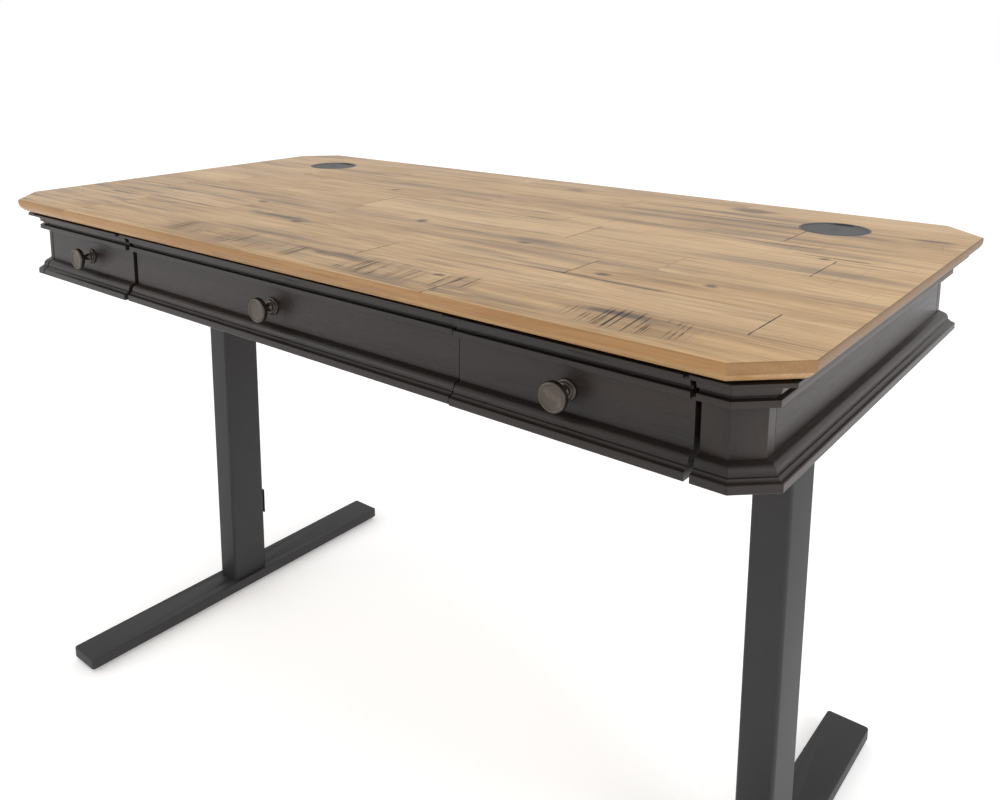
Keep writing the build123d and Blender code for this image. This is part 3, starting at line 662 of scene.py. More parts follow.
class Piece:
    """A piece in the making: closed shells, and numbers kept on their faces."""

    def __init__(self, name: str) -> None:
        """Starts an empty piece."""
        self.name = name
        self.points: list[Vector] = []
        self.faces: list[list[int]] = []
        self.values: dict[str, list[float]] = {}

    def add(self, points: list, faces: list, **values: float | list[float]) -> None:
        """Adds a shell.

        Args:
            points: its corners.
            faces: its faces, as places in points.
            values: for each attribute a number for the whole shell, or one for each face.
        """
        first = len(self.points)
        self.points += [Vector(point) for point in points]
        for name in sorted(set(self.values) | set(values)):
            kept = self.values.setdefault(name, [])
            kept += [0.0] * (len(self.faces) - len(kept))
            given = values.get(name, 0.0)
            kept += given if isinstance(given, list) else [given] * len(faces)
        self.faces += [[first + number for number in face] for face in faces]

    def block(self, low: tuple, high: tuple, **values: float) -> None:
        """Adds a box between two corners."""
        corners = [
            (x, y, z) for z in (low[2], high[2]) for y in (low[1], high[1]) for x in (low[0], high[0])
        ]
        sides = [(0, 2, 3, 1), (4, 5, 7, 6), (0, 1, 5, 4), (1, 3, 7, 5), (3, 2, 6, 7), (2, 0, 4, 6)]
        self.add(corners, sides, **values)

    def loft(self, rings: list, **values: float) -> None:
        """Adds a shell through rings of points, closed at both ends."""
        count = len(rings[0])
        points = [point for ring in rings for point in ring]
        faces = [list(range(count))[::-1]]
        for level in range(len(rings) - 1):
            base = level * count
            for number in range(count):
                after = (number + 1) % count
                faces.append([base + number, base + after, base + count + after, base + count + number])
        last = (len(rings) - 1) * count
        faces.append([last + number for number in range(count)])
        self.add(points, faces, **values)

    def turned(self, profile: list, centre: Vector, axis: Vector, steps: int = 48) -> None:
        """Adds a turned solid.

        Args:
            profile: radius and distance along the axis, from one pole to the other.
            centre: where the distance is nought.
            axis: the way that the distance grows.
            steps: how many flats go round.
        """
        axis = Vector(axis).normalized()
        side = axis.orthogonal().normalized()
        other = axis.cross(side)
        points, rings = [], []
        for radius, along in profile:
            middle = Vector(centre) + axis * along
            if radius < POLE:
                rings.append([len(points)] * steps)
                points.append(middle)
                continue
            rings.append(list(range(len(points), len(points) + steps)))
            for step in range(steps):
                turn = math.tau * step / steps
                points.append(middle + (side * math.cos(turn) + other * math.sin(turn)) * radius)
        faces = []
        for ring, after in zip(rings, rings[1:]):
            for step in range(steps):
                corner = [ring[step], ring[(step + 1) % steps], after[(step + 1) % steps], after[step]]
                faces.append(list(dict.fromkeys(corner)))
        for ring, flip in ((rings[0], True), (rings[-1], False)):
            if len(set(ring)) > 1:
                faces.append(ring[::-1] if flip else list(ring))
        self.add(points, faces)

    def mesh(self) -> bpy.types.Mesh:
        """The piece so far as a plain mesh, with its numbers."""
        mesh = bpy.data.meshes.new(self.name)
        mesh.from_pydata(self.points, [], self.faces)
        for name, numbers in self.values.items():
            kept = numbers + [0.0] * (len(self.faces) - len(numbers))
            mesh.attributes.new(name, "FLOAT", "FACE").data.foreach_set("value", kept)
        return mesh

    def done(
        self, finish: bpy.types.Material, body: str, slot: str, replaces: tuple = (),
        edge: float = 0.0, angle: float = 30.0,
    ) -> bpy.types.Object:
        """Makes the object and lets it ride.

        Args:
            finish: its material.
            body: the CAD body that carries it.
            slot: the record's material slot.
            replaces: the CAD nodes that it stands for.
            edge: how wide its edges are rounded, in metres.
            angle: edges sharper than this are kept sharp.

        Returns:
            The finished object.
        """
        return place(self.name, self.mesh(), finish, body, slot, replaces, edge, angle)


def place(
    name: str, mesh: bpy.types.Mesh, finish: bpy.types.Material, body: str, slot: str,
    replaces: tuple = (), edge: float = 0.0, angle: float = 30.0,
) -> bpy.types.Object:
    """Turns a mesh into a piece: normals outward, smooth by angle, dressed and riding.

    Args:
        name: the piece's name.
        mesh: its mesh, in place.
        finish: its material.
        body: the CAD body that carries it.
        slot: the record's material slot; not used.
        replaces: the CAD nodes that it stands for.
        edge: how wide its edges are rounded.
        angle: edges sharper than this are kept sharp, in degrees.

    Returns:
        The finished object.
    """
    work = bmesh.new()
    work.from_mesh(mesh)
    bmesh.ops.remove_doubles(work, verts=work.verts, dist=MERGE)
    bmesh.ops.recalc_face_normals(work, faces=work.faces)
    work.to_mesh(mesh)
    work.free()
    mesh.shade_smooth()
    mesh.set_sharp_from_angle(angle=math.radians(angle))
    mesh.materials.clear()
    mesh.materials.append(finish)
    piece = bpy.data.objects.new(name, mesh)
    bpy.context.scene.collection.objects.link(piece)
    if edge:
        soften(piece, edge, angle)
    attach(piece, body)
    if replaces:
        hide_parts(*replaces)
    log.info("%s on %s, %d faces", name, body, len(mesh.polygons))
    return piece


def dress(node: str, finish: bpy.types.Material, edge: float = 0.0) -> None:
    """Gives a CAD node its finish, and rounds its edges where a width is given."""
    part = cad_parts[node]
    part.data.materials.clear()
    part.data.materials.append(finish)
    if edge:
        weld = part.modifiers.new("merged", "WELD")
        weld.merge_threshold = CAD_MERGE
        flats = part.modifiers.new("flats", "DECIMATE")
        flats.decimate_type = "DISSOLVE"
        flats.angle_limit = math.radians(FLAT_ANGLE)
        part.data.polygons.foreach_set("use_smooth", [True] * len(part.data.polygons))
        soften(part, edge)
    log.info("%s dressed", node)


# ---------------------------------------------------------------------------------------------
# Fasteners
# ---------------------------------------------------------------------------------------------
class Drive(Enum):
    """The recess in a screw's head."""

    CROSS = "cross"
    HEXAGON = "hexagon"


@dataclass(frozen=True)
class Screw:
    """A headed screw with a driven recess, its head above the seat and its shank below."""

    radius: float
    height: float
    drive: Drive
    shank: float = 0.0
    length: float = 0.0
    steps: int = 32

    def recess(self, turn: float) -> float:
        """How far the recess reaches at an angle round the head."""
        if self.drive is Drive.HEXAGON:
            sector = (turn + math.pi / 6) % (math.pi / 3) - math.pi / 6
            return 0.5 * self.radius / math.cos(sector)
        sector = abs((turn + math.pi / 4) % (math.pi / 2) - math.pi / 4)
        return min(0.55 * self.radius, 0.12 * self.radius / max(math.sin(sector), 1e-6))

    def template(self) -> bpy.types.Object:
        """One screw at the origin, head up, to be repeated by a recipe."""
        shape = Piece("screw_pattern")
        turns = [math.tau * step / self.steps for step in range(self.steps)]

        def ring(reach, level: float) -> list:
            """A ring of points whose reach is a length or depends on the turn."""
            return [
                (r * math.cos(t), r * math.sin(t), level)
                for t in turns for r in (reach(t) if callable(reach) else reach,)
            ]

        r, h = self.radius, self.height
        rings = []
        if self.length:
            rings += [ring(self.shank * 0.3, -self.length), ring(self.shank, -self.length * 0.85)]
            rings += [ring(self.shank, 0.0)]
        rings += [ring(r, 0.0), ring(r, 0.45 * h), ring(0.93 * r, 0.75 * h), ring(0.80 * r, 0.93 * h)]
        rings += [ring(0.66 * r, h), ring(self.recess, h), ring(lambda t: 0.9 * self.recess(t), 0.35 * h)]
        shape.loft(rings)
        return bpy.data.objects.new(shape.name, shape.mesh())

    def fit(
        self, name: str, seats: list, finish: bpy.types.Material, body: str, slot: str,
        replaces: tuple = (),
    ) -> bpy.types.Object:
        """Sets one of these screws on every seat, each turned its own way.

        Args:
            name: the piece's name.
            seats: pairs of a place and the way that the head faces.
            finish: the material.
            body: the CAD body that carries them.
            slot: the record's material slot.
            replaces: the CAD nodes that they stand for.

        Returns:
            The screws as one piece.
        """
        pattern = self.template()
        recipe = Recipe(f"{name}_recipe", {"Screw": pattern, "Seed": SEED, "Finish": finish})
        chance = recipe.node(
            "FunctionNodeRandomValue", {"data_type": "FLOAT"},
            {"Min_001": 0.0, "Max_001": math.pi, "Seed": recipe.given("Seed")},
        )
        angle = next(s for s in chance.outputs if s.type == "VALUE" and s.enabled)
        spin = recipe.node("FunctionNodeAxisAngleToRotation", values={"Axis": (0, 0, 1), "Angle": angle})
        recipe.close(recipe.seated("Screw", spin.outputs[0]))
        mesh = recipe.mesh(seat_points(seats))
        bpy.data.objects.remove(pattern)
        return place(name, mesh, finish, body, slot, replaces)


def seat_points(seats: list) -> bpy.types.Mesh:
    """A mesh of loose points, each with the way that it faces."""
    mesh = bpy.data.meshes.new("seats")
    mesh.from_pydata([tuple(spot) for spot, _ in seats], [], [])
    facing = mesh.attributes.new("facing", "FLOAT_VECTOR", "POINT")
    facing.data.foreach_set("vector", [part for _, way in seats for part in way])
    return mesh


def repeat(
    name: str, pattern: Piece, seats: list, finish: bpy.types.Material, body: str, slot: str,
    edge: float = 0.0,
) -> bpy.types.Object:
    """Repeats a small shape on every seat, its Z axis the way the seat faces.

    Args:
        name: the piece's name.
        pattern: the shape, at the origin.
        seats: pairs of a place and a way to face.
        finish: the material.
        body: the CAD body that carries it.
        slot: the record's material slot.
        edge: how wide its edges are rounded.

    Returns:
        The repeated shapes as one piece.
    """
    thing = bpy.data.objects.new(pattern.name, pattern.mesh())
    recipe = Recipe(f"{name}_recipe", {"Shape": thing, "Finish": finish})
    recipe.close(recipe.seated("Shape"))
    made = recipe.mesh(seat_points(seats))
    bpy.data.objects.remove(thing)
    return place(name, made, finish, body, slot, edge=edge)


# ---------------------------------------------------------------------------------------------
# The top
# ---------------------------------------------------------------------------------------------
@dataclass
class Desktop:
    """Oak boards laid in rows along the desk, swept up under the edge, with two cable holes."""

    finishes: Finishes
    corner_cut: float = 57 * MM
    under_reach: float = 30 * MM
    under_rise: float = 20 * MM
    ease: float = 1.5 * MM
    gap: float = 0.06 * MM
    seam: float = 0.28 * MM
    open_seam: float = 0.75 * MM
    barrel: float = 45.2 * MM
    rebate: tuple = (47.5 * MM, 2.5 * MM)
    under_steps: int = 8
    skin_depth: float = 2 * MM
    hole_reach: float = 50 * MM
    tone_play: float = 0.12
    # in millimetres, the long edges of the rows and then the joints in each row from left to right, with a
    # 1 where the joint stands open
    row_edges: tuple = (-371, -287, -204, -124, -39, 53, 120, 206, 290, 371)
    joints: tuple = (
        ((-478, 0), (-92, 0), (282, 1)),
        ((-476, 0), (97, 1), (612, 1)),
        ((-282, 0), (355, 1)),
        ((-560, 0), (-130, 0), (431, 0)),
        ((-520, 0), (-145, 1), (252, 1), (580, 1)),
        ((-392, 0), (182, 0)),
        ((-470, 0), (-8, 0), (488, 1)),
        ((-300, 0), (192, 0)),
        ((-580, 0), (-60, 0), (352, 0)),
    )
    # the tone of each board in each row: less than 0 is browner and more is paler
    tones: tuple = (
        (-0.2, 0.1, -0.3, 0.2), (-0.3, 0.0, 0.25, 0.3), (-0.1, -0.3, 0.0), (-0.2, -0.45, -0.5, -0.1),
        (0.0, 0.2, 0.75, 0.55, 0.35), (-0.2, -0.1, 0.6), (0.1, -0.1, -0.5, -0.35), (0.2, 0.35, 0.05),
        (-0.1, 0.15, -0.15, 0.3),
    )

    def skin(self, low: Vector, high: Vector) -> list[tuple[Vector, Vector]]:
        """The planes that bound the top: its eight sides, the sweep under them and their upper ease.

        Args:
            low: the least corner of the top's box.
            high: its greatest corner.

        Returns:
            For each plane a point on it and its outward normal.
        """
        diagonal = math.sqrt(0.5)
        quarter = math.pi / 2
        chord = math.cos(quarter / 2 / self.under_steps)
        reach = {(1, 0): high.x, (0, 1): high.y}
        corner = (high.x + high.y - self.corner_cut) * diagonal
        planes = []
        for step in range(8):
            turn = step * math.pi / 4
            across = Vector((round(math.cos(turn), 6), round(math.sin(turn), 6), 0)).normalized()
            axis = (abs(round(across.x)), abs(round(across.y)))
            far = corner if step % 2 else reach[axis]
            planes.append((across * far, across))
            centre = across * (far - self.under_reach) + UP * (low.z + self.under_rise)
            for part in range(self.under_steps):
                angle = (part + 0.5) * quarter / self.under_steps
                lean = across * (math.cos(angle) * self.under_rise)
                lean -= UP * (math.sin(angle) * self.under_reach)
                spot = across * (math.cos(angle) * self.under_reach * chord)
                spot -= UP * (math.sin(angle) * self.under_rise * chord)
                planes.append((centre + spot, lean.normalized()))
            centre = across * (far - self.ease) + UP * (high.z - self.ease)
            for angle in (quarter / 3, 2 * quarter / 3):
                lean = across * math.cos(angle) + UP * math.sin(angle)
                planes.append((centre + lean * self.ease, lean))
        return planes

    @staticmethod
    def clip(board: bmesh.types.BMesh, planes: list[tuple[Vector, Vector]]) -> None:
        """Cuts away what is outside each plane and closes the cut.

        Args:
            board: the closed shell to cut, which is changed.
            planes: for each plane a point on it and its outward normal.
        """
        outside, on_plane = 1e-7, 1e-8
        for point, normal in planes:
            if all((corner.co - point).dot(normal) < outside for corner in board.verts):
                continue
            geometry = board.verts[:] + board.edges[:] + board.faces[:]
            bmesh.ops.bisect_plane(
                board, geom=geometry, plane_co=point, plane_no=normal, clear_outer=True, dist=on_plane,
            )
            open_edges = [edge for edge in board.edges if edge.is_boundary]
            bmesh.ops.holes_fill(board, edges=open_edges, sides=0)

    def drill(self, board: bmesh.types.BMesh, holes: list[Vector], high: Vector) -> bmesh.types.BMesh:
        """Cuts the stepped cable holes out of a board that they touch.

        Args:
            board: the board's closed shell.
            holes: the holes' centres.
            high: the greatest corner of the top's box.

        Returns:
            The board with its holes.
        """
        cutter = Piece("hole")
        wide, deep = self.rebate
        above, below = 1 * MM, -40 * MM
        profile = [
            (0.0, below), (self.barrel, below), (self.barrel, -deep), (wide, -deep), (wide, above),
            (0.0, above),
        ]
        for hole in holes:
            cutter.turned(profile, Vector((hole.x, hole.y, high.z)), UP, 96)
        uncut = bpy.data.meshes.new("board")
        board.to_mesh(uncut)
        things = []
        for mesh in (uncut, cutter.mesh()):
            thing = bpy.data.objects.new(mesh.name, mesh)
            bpy.context.scene.collection.objects.link(thing)
            things.append(thing)
        cut = things[0].modifiers.new("hole", "BOOLEAN")
        cut.operation, cut.object, cut.solver = "DIFFERENCE", things[1], "EXACT"
        graph = bpy.context.evaluated_depsgraph_get()
        made = bmesh.new()
        made.from_mesh(bpy.data.meshes.new_from_object(things[0].evaluated_get(graph)))
        for thing in things:
            bpy.data.objects.remove(thing)
        return made

    def build(self) -> None:
        """Builds the top."""
        low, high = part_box("desktop")
        holes = []
        for side in SIDES:
            near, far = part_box(f"grommet_cap_{side}")
            holes.append(Vector(((near.x + far.x) / 2, near.y + (far.x - near.x) / 2, 0)))
        skin = self.skin(low, high)
        ways = [Vector((-1, 0, 0)), Vector((1, 0, 0)), Vector((0, -1, 0)), Vector((0, 1, 0))]
        chance = random.Random(SEED)
        top = Piece("oak_boards")
        for row, (front, back) in enumerate(zip(self.row_edges, self.row_edges[1:])):
            ends = [(low.x / MM, 0), *self.joints[row], (high.x / MM, 0)]
            for number, ((left, left_open), (right, right_open)) in enumerate(zip(ends, ends[1:])):
                near = Vector((left * MM + self.gap / 2, front * MM + self.gap / 2, low.z))
                far = Vector((right * MM - self.gap / 2, back * MM - self.gap / 2, high.z))
                block = Piece("board")
                block.block(near, far)
                board = bmesh.new()
                board.from_mesh(block.mesh())
                opened = (left_open, right_open, 0, 0)
                seams = [self.open_seam if way_open else self.seam for way_open in opened]
                chamfers = []
                for size, way in zip(seams, ways):
                    edge = near if way.x + way.y < 0 else far
                    inner = Vector((edge.x, edge.y, high.z)) - way * size
                    chamfers.append((inner, (way + UP).normalized()))
                self.clip(board, chamfers + skin)
                touched = [
                    hole for hole in holes
                    if near.x - self.hole_reach < hole.x < far.x + self.hole_reach
                    and near.y - self.hole_reach < hole.y < far.y + self.hole_reach
                ]
                if touched:
                    board = self.drill(board, touched, high)
                seed = chance.random()
                tone = self.tones[row][number] + chance.uniform(-self.tone_play, self.tone_play)
                self.take(top, board, high, seed, tone, any(opened))
        top.done(self.finishes.oak, "desk", "oak_top", ("desktop",), angle=35)

    def take(
        self, top: Piece, board: bmesh.types.BMesh, high: Vector, seed: float, tone: float, opened: bool,
    ) -> None:
        """Moves a board's faces to the top, and marks its seams and the outer edge, which takes a golden
        tone with painted shade.

        Args:
            top: the piece that takes the board.
            board: the board, which is freed.
            high: the greatest corner of the top's box.
            seed: the number that gives the board its own figure.
            tone: how pale it is, or how brown when less than 0.
            opened: whether one of its ends stands open.
        """
        board.verts.index_update()
        bmesh.ops.recalc_face_normals(board, faces=board.faces)
        corner = high.x + high.y - self.corner_cut
        seams, rim_tone_and_shade_shares, ends = [], [], []
        for face in board.faces:
            middle, lean = face.calc_center_median(), face.normal
            outward = max(
                abs(middle.x) - high.x, abs(middle.y) - high.y,
                (abs(middle.x) + abs(middle.y) - corner) * math.sqrt(0.5),
            )
            slanted = middle.z > high.z - self.skin_depth and 0.3 < lean.z < 0.95
            on_seam = slanted and outward < -self.skin_depth
            crossing = opened and abs(lean.x) > 0.3
            seams.append((1.0 if crossing else 0.62) if on_seam else 0.0)
            # lean.z is 1 on the upper face, and well under 0 on the sweep below the edge
            edge = lean.z < 0.97 and outward > -self.under_reach and not on_seam
            upright = lean.z > -0.45
            # painted shade: the golden edge tone goes fully on the upright band and at 0.6 on the lower
            # sweep, a painted lighter underside for light bounced up from the floor
            rim_tone_and_shade_shares.append((1.0 if upright else 0.6) if edge else 0.0)
            # end grain shows whole on the two ends, and half on the cut corners
            facing = abs(lean.x) - abs(lean.y)
            share = 1.0 if facing > 0.1 else 0.45 if upright and abs(facing) < 0.1 else 0.0
            ends.append(share if edge else 0.0)
        top.add(
            [corner.co.copy() for corner in board.verts],
            [[corner.index for corner in face.verts] for face in board.faces],
            board_seed=seed, board_tone=tone, seam=seams, rim=rim_tone_and_shade_shares, end=ends,
        )
        board.free()


@dataclass
class Grommet:
    """The cap with a cable notch that turns in the ring let into the top."""

    finishes: Finishes
    side: str
    notch: float = 27 * MM
    notch_depth: float = 10.1 * MM
    steps: int = 96

    def build(self) -> None:
        """Builds the cap with its stepped rim, and the low boss in its middle."""
        low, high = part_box(f"grommet_cap_{self.side}")
        radius = (high.x - low.x) / 2
        centre = Vector(((low.x + high.x) / 2, low.y + radius, 0))
        half = math.asin(self.notch / 2 / radius)
        first, whole = math.pi / 2 + half, math.tau - 2 * half
        turns = [first + whole * number / self.steps for number in range(self.steps + 1)]

        def outline(inset: float, level: float) -> list:
            """The cap's outline at a height, drawn in by an inset."""
            reach = radius - inset
            points = [
                (centre.x + reach * math.cos(t), centre.y + reach * math.sin(t), level) for t in turns
            ]
            floor = centre.y + radius - self.notch_depth - inset
            points += [(centre.x + side * (self.notch / 2 + inset), floor, level) for side in (1, -1)]
            return points

        cap = Piece(f"cable_cap_{self.side}")
        levels = [
            (0.4, low.z), (0.0, low.z + 0.5 * MM), (0.0, high.z - 0.9 * MM), (0.25, high.z - 0.35 * MM),
            (0.9, high.z), (2.6, high.z), (3.2, high.z - 0.55 * MM), (4.2, high.z - 0.6 * MM),
        ]
        cap.loft([outline(inset * MM, level) for inset, level in levels])
        replaced = (f"grommet_cap_{self.side}",)
        cap.done(self.finishes.grey, f"cap_{self.side}", "grommet_plastic", replaced, angle=40)
        hub = Piece(f"cable_cap_hub_{self.side}")
        profile = [(0, -0.3), (7.5, -0.3), (7.5, 0.12), (7.0, 0.32), (5.9, 0.32), (5.5, 0.1), (0, 0.1)]
        level = high.z - 0.6 * MM
        hub.turned([(r * MM, z * MM) for r, z in profile], Vector((centre.x, centre.y, level)), UP)
        hub.done(self.finishes.grey, f"cap_{self.side}", "grommet_plastic")


# ---------------------------------------------------------------------------------------------
# The apron
# ---------------------------------------------------------------------------------------------
TOP_DEPTH = 24.5  # millimetres from the desktop's face down to its underside
MITRE_TRIM = 0.01 * MM  # what a mitred end stays short of its mitre
SQUARE_TRIM = 0.04 * MM  # and a square end of its length


class Section(Enum):
    """Moulding sections: out from the panel and down from the desktop's face, in millimetres."""

    CROWN = "crown"
    BASE = "base"

    def outline(self) -> list[tuple]:
        """The section's points, round stretches as arcs."""
        if self is Section.CROWN:
            points = [(0, TOP_DEPTH), (28.5, TOP_DEPTH), (28.5, 28.8), (20.0, 29.6)]
            points += arc(points[-1], (14.0, 34.0), (11.8, 41.0), 10)
            points += [(5.5, 42.0), (5.5, 46.2), (11.7, 46.2)]
            points += arc(points[-1], (12.3, 46.4), (12.5, 47.0), 2) + [(12.5, 52.6)]
            points += arc(points[-1], (12.2, 53.3), (11.5, 53.6), 2)
            return points + [(2.2, 53.6), (2.2, 55.2), (0, 55.6)]
        points = [(0, 107.0), (3.6, 108.2)]
        points += arc(points[-1], (9.6, 111.2), (11.5, 116.8), 8)
        points += [(11.5, 118.2), (13.6, 118.8)]
        points += arc(points[-1], (15.2, 120.9), (18.6, 122.0), 6)
        return points + [(19.7, 122.8), (19.7, 130.7), (18.9, 131.5), (0, 131.5)]

    def length(self, start: Vector, end: Vector, mitres: tuple, top: float, drop: float = 0.0) -> list:
        """One straight length as two rings of points.

        Args:
            start: where it begins on the panel's face.
            end: where it ends.
            mitres: whether each end is mitred for a turn of an eighth.
            top: the height of the desktop's face.
            drop: how far the upper edge stays below the desktop, in metres.

        Returns:
            The ring at each end.
        """
        along = (end - start).normalized()
        outward = along.cross(UP)
        highest = TOP_DEPTH + drop / MM
        rings = []
        for point, mitred, sign in ((start, mitres[0], -1), (end, mitres[1], 1)):
            lean, trim = (math.tan(math.pi / 8) * sign, MITRE_TRIM) if mitred else (0.0, SQUARE_TRIM)
            base = Vector((point.x, point.y, top)) - along * (trim * sign)
            rings.append([
                base + (outward + along * lean) * (out * MM) - UP * (max(down, highest) * MM)
                for out, down in self.outline()
            ])
        return rings


@dataclass
class Apron:
    """Panels, posts and mouldings in dark stain, with the boards that carry the drawers."""

    finishes: Finishes
    cut: float = 25.4 * MM
    left_board: float = 12 * MM
    right_board: float = 16 * MM

    def corners(self) -> list[Vector]:
        """The eight corners of the panels' faces, anticlockwise from the front left."""
        x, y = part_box("side_panel_right")[1].x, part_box("back_panel")[1].y
        inner_x, inner_y = x - self.cut, y - self.cut
        spots = [(-inner_x, -y), (inner_x, -y), (x, -inner_y), (x, inner_y)]
        spots += [(inner_x, y), (-inner_x, y), (-x, inner_y), (-x, -inner_y)]
        return [Vector((*spot, 0)) for spot in spots]

    def stiles(self) -> tuple[float, float]:
        """Where the left and the right front posts meet the drawers."""
        low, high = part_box("drawer_partitions")
        return low.x + self.left_board, high.x - self.right_board

    def mouldings(self, section: Section) -> None:
        """The fixed lengths of one moulding, as mitred sticks."""
        corners = self.corners()
        left, right = self.stiles()
        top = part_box("desktop")[1].z
        front = corners[0].y
        runs = [(Vector((right, front, 0)), corners[1], (False, True))]
        runs += [(corners[n], corners[(n + 1) % 8], (True, True)) for n in range(1, 8)]
        runs += [(corners[0], Vector((left, front, 0)), (True, False))]
        straight = Piece(f"{section.value}_moulding_along")
        across = Piece(f"{section.value}_moulding_across")
        for start, end, mitres in runs:
            way = (end - start).normalized()
            stick = straight if abs(way.x) > 0.5 else across
            stick.loft(section.length(start, end, mitres, top))
        node = f"{section.value}_moulding"
        for stick, grain, nodes in ((straight, Grain.ALONG, (node,)), (across, Grain.ACROSS, ())):
            stick.done(self.finishes.stain[grain], "desk", "dark_wood", nodes, edge=0.35 * MM, angle=28)

    def build(self) -> None:
        """Dresses the boards and makes the mouldings."""
        stain = self.finishes.stain
        for node in ("side_panel_left", "side_panel_right"):
            dress(node, stain[Grain.ACROSS], 0.5 * MM)
        dress("back_panel", stain[Grain.ALONG], 0.5 * MM)
        for node in ("corner_posts_front", "corner_posts_back"):
            dress(node, stain[Grain.UPRIGHT], 0.8 * MM)
        for section in Section:
            self.mouldings(section)
        dress("drawer_partitions", self.finishes.carcass[Grain.ACROSS], 0.5 * MM)
        dress("drawer_rail", self.finishes.carcass[Grain.ALONG], 0.5 * MM)


# ---------------------------------------------------------------------------------------------
# Drawers
# ---------------------------------------------------------------------------------------------
@dataclass
class Drawer:
    """A drawer: moulded front, ply box with comb joints, runners, knob and its screws."""

    finishes: Finishes
    name: str
    crown_reach: float = 28.5 * MM
    board: float = 18 * MM
    ply: float = 12 * MM
    floor: float = 6 * MM
    floor_lift: float = 3 * MM
    fingers: int = 9
    layers: int = 7
    layer_gap: float = 0.012 * MM
    play: float = 0.05 * MM
    front_gap: float = 1 * MM
    runner_screws: tuple = (0.08, 0.5, 0.92)
    moulding_gap: float = 0.02 * MM
    ball_radius: float = 0.7 * MM
    balls_in_row: int = 20

    def front(self) -> None:
        """The front board and its two lengths of moulding."""
        low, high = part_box(f"drawer_front_{self.name}")
        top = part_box("desktop")[1].z
        face = low.y + self.crown_reach
        piece = Piece(f"drawer_face_{self.name}")
        piece.block((low.x, face, low.z), (high.x, face + self.board, high.z))
        start = Vector((low.x, face - self.moulding_gap, 0))
        end = Vector((high.x, face - self.moulding_gap, 0))
        for section in Section:
            piece.loft(section.length(start, end, (False, False), top, self.front_gap))
        node = (f"drawer_front_{self.name}",)
        stain = self.finishes.stain[Grain.ALONG]
        piece.done(stain, f"drawer_{self.name}", "dark_wood", node, edge=0.4 * MM, angle=28)

    def plies(self, piece: Piece, low: Vector, high: Vector, thin: int) -> None:
        """A ply board as layers across its thin axis, with the cross layers marked.

        Args:
            piece: the piece that takes the layers.
            low: the board's least corner.
            high: its greatest corner.
            thin: the number of the axis across its layers.
        """
        depth = high[thin] - low[thin]
        for layer in range(self.layers):
            near, far = Vector(low), Vector(high)
            near[thin] = low[thin] + depth * layer / self.layers
            far[thin] = low[thin] + depth * (layer + 1) / self.layers - self.layer_gap
            piece.block(near, far, ply=float(layer % 2))

    def box(self) -> None:
        """Two sides, a back with comb joints, and a bottom in its groove."""
        low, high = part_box(f"drawer_box_{self.name}")
        body, slot = f"drawer_{self.name}", "drawer_wood"
        sides, back = Piece(f"box_sides_{self.name}"), Piece(f"box_back_{self.name}")
        play = self.play
        joint = high.y - self.ply
        for inner, outer in ((low.x + self.ply, low.x), (high.x - self.ply, high.x)):
            near, far = min(inner, outer), max(inner, outer)
            self.plies(sides, Vector((near, low.y, low.z)), Vector((far, joint, high.z)), 0)
            pitch = (high.z - low.z) / self.fingers
            for finger in range(self.fingers):
                z = low.z + finger * pitch
                piece, thin = (sides, 0) if finger % 2 == 0 else (back, 1)
                start, end = (near, joint + play, z + play), (far, high.y, z + pitch - play)
                self.plies(piece, Vector(start), Vector(end), thin)
        inner = (low.x + self.ply + play, high.x - self.ply - play)
        self.plies(back, Vector((inner[0], joint, low.z)), Vector((inner[1], high.y, high.z)), 1)
        node = (f"drawer_box_{self.name}",)
        sides.done(self.finishes.birch[Grain.ACROSS], body, slot, node)
        back.done(self.finishes.birch[Grain.ALONG], body, slot)
        bottom = Piece(f"box_bottom_{self.name}")
        level = low.z + self.floor_lift
        bottom.block((inner[0], low.y, level), (inner[1], joint - play, level + self.floor))
        bottom.done(self.finishes.birch[Grain.ALONG], body, slot, edge=0.3 * MM)

    def runners(self) -> None:
        """Screws of the fixed and of the moving runner members."""
        body = f"drawer_{self.name}"
        low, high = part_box(f"middle_runners_{self.name}")
        z = (low.z + high.z) / 2
        span = [low.y + (high.y - low.y) * share for share in self.runner_screws]
        web = 1.4 * MM
        fixed = [((low.x - web, y, z), (1, 0, 0)) for y in span]
        fixed += [((high.x + web, y, z), (-1, 0, 0)) for y in span]
        flat = Screw(3.4 * MM, 0.9 * MM, Drive.CROSS)
        flat.fit(f"fixed_runner_screws_{self.name}", fixed, self.finishes.zinc, "desk", "runner_steel")
        box_low, box_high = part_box(f"drawer_box_{self.name}")
        inset = 1.2 * MM
        moving = [((box_low.x - inset, y, z), (-1, 0, 0)) for y in span]
        moving += [((box_high.x + inset, y, z), (1, 0, 0)) for y in span]
        flat.fit(f"moving_runner_screws_{self.name}", moving, self.finishes.zinc, body, "runner_steel")
        for node in (f"drawer_runners_{self.name}", f"middle_runners_{self.name}"):
            dress(node, self.finishes.zinc, 0.25 * MM)

    def balls(self) -> None:
        """Balls between the fixed and the middle members."""
        low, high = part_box(f"middle_runners_{self.name}")
        ball = Piece("ball")
        radius = self.ball_radius
        turns = [math.pi * step / 6 for step in range(7)]
        ball.turned([(radius * math.sin(t), -radius * math.cos(t)) for t in turns], Vector(), UP, 8)
        inset, clear = 3.6 * MM, 0.75 * MM
        start, pitch = 6, 5.2
        seats = []
        for x in (low.x + inset, high.x - inset):
            for level in (low.z - clear, high.z + clear):
                rows = [low.y + (start + pitch * n) * MM for n in range(self.balls_in_row)]
                seats += [((x, y, level), (0, 0, 1)) for y in rows]
        steel = self.finishes.steel
        repeat(f"runner_balls_{self.name}", ball, seats, steel, f"runner_{self.name}", "runner_steel")

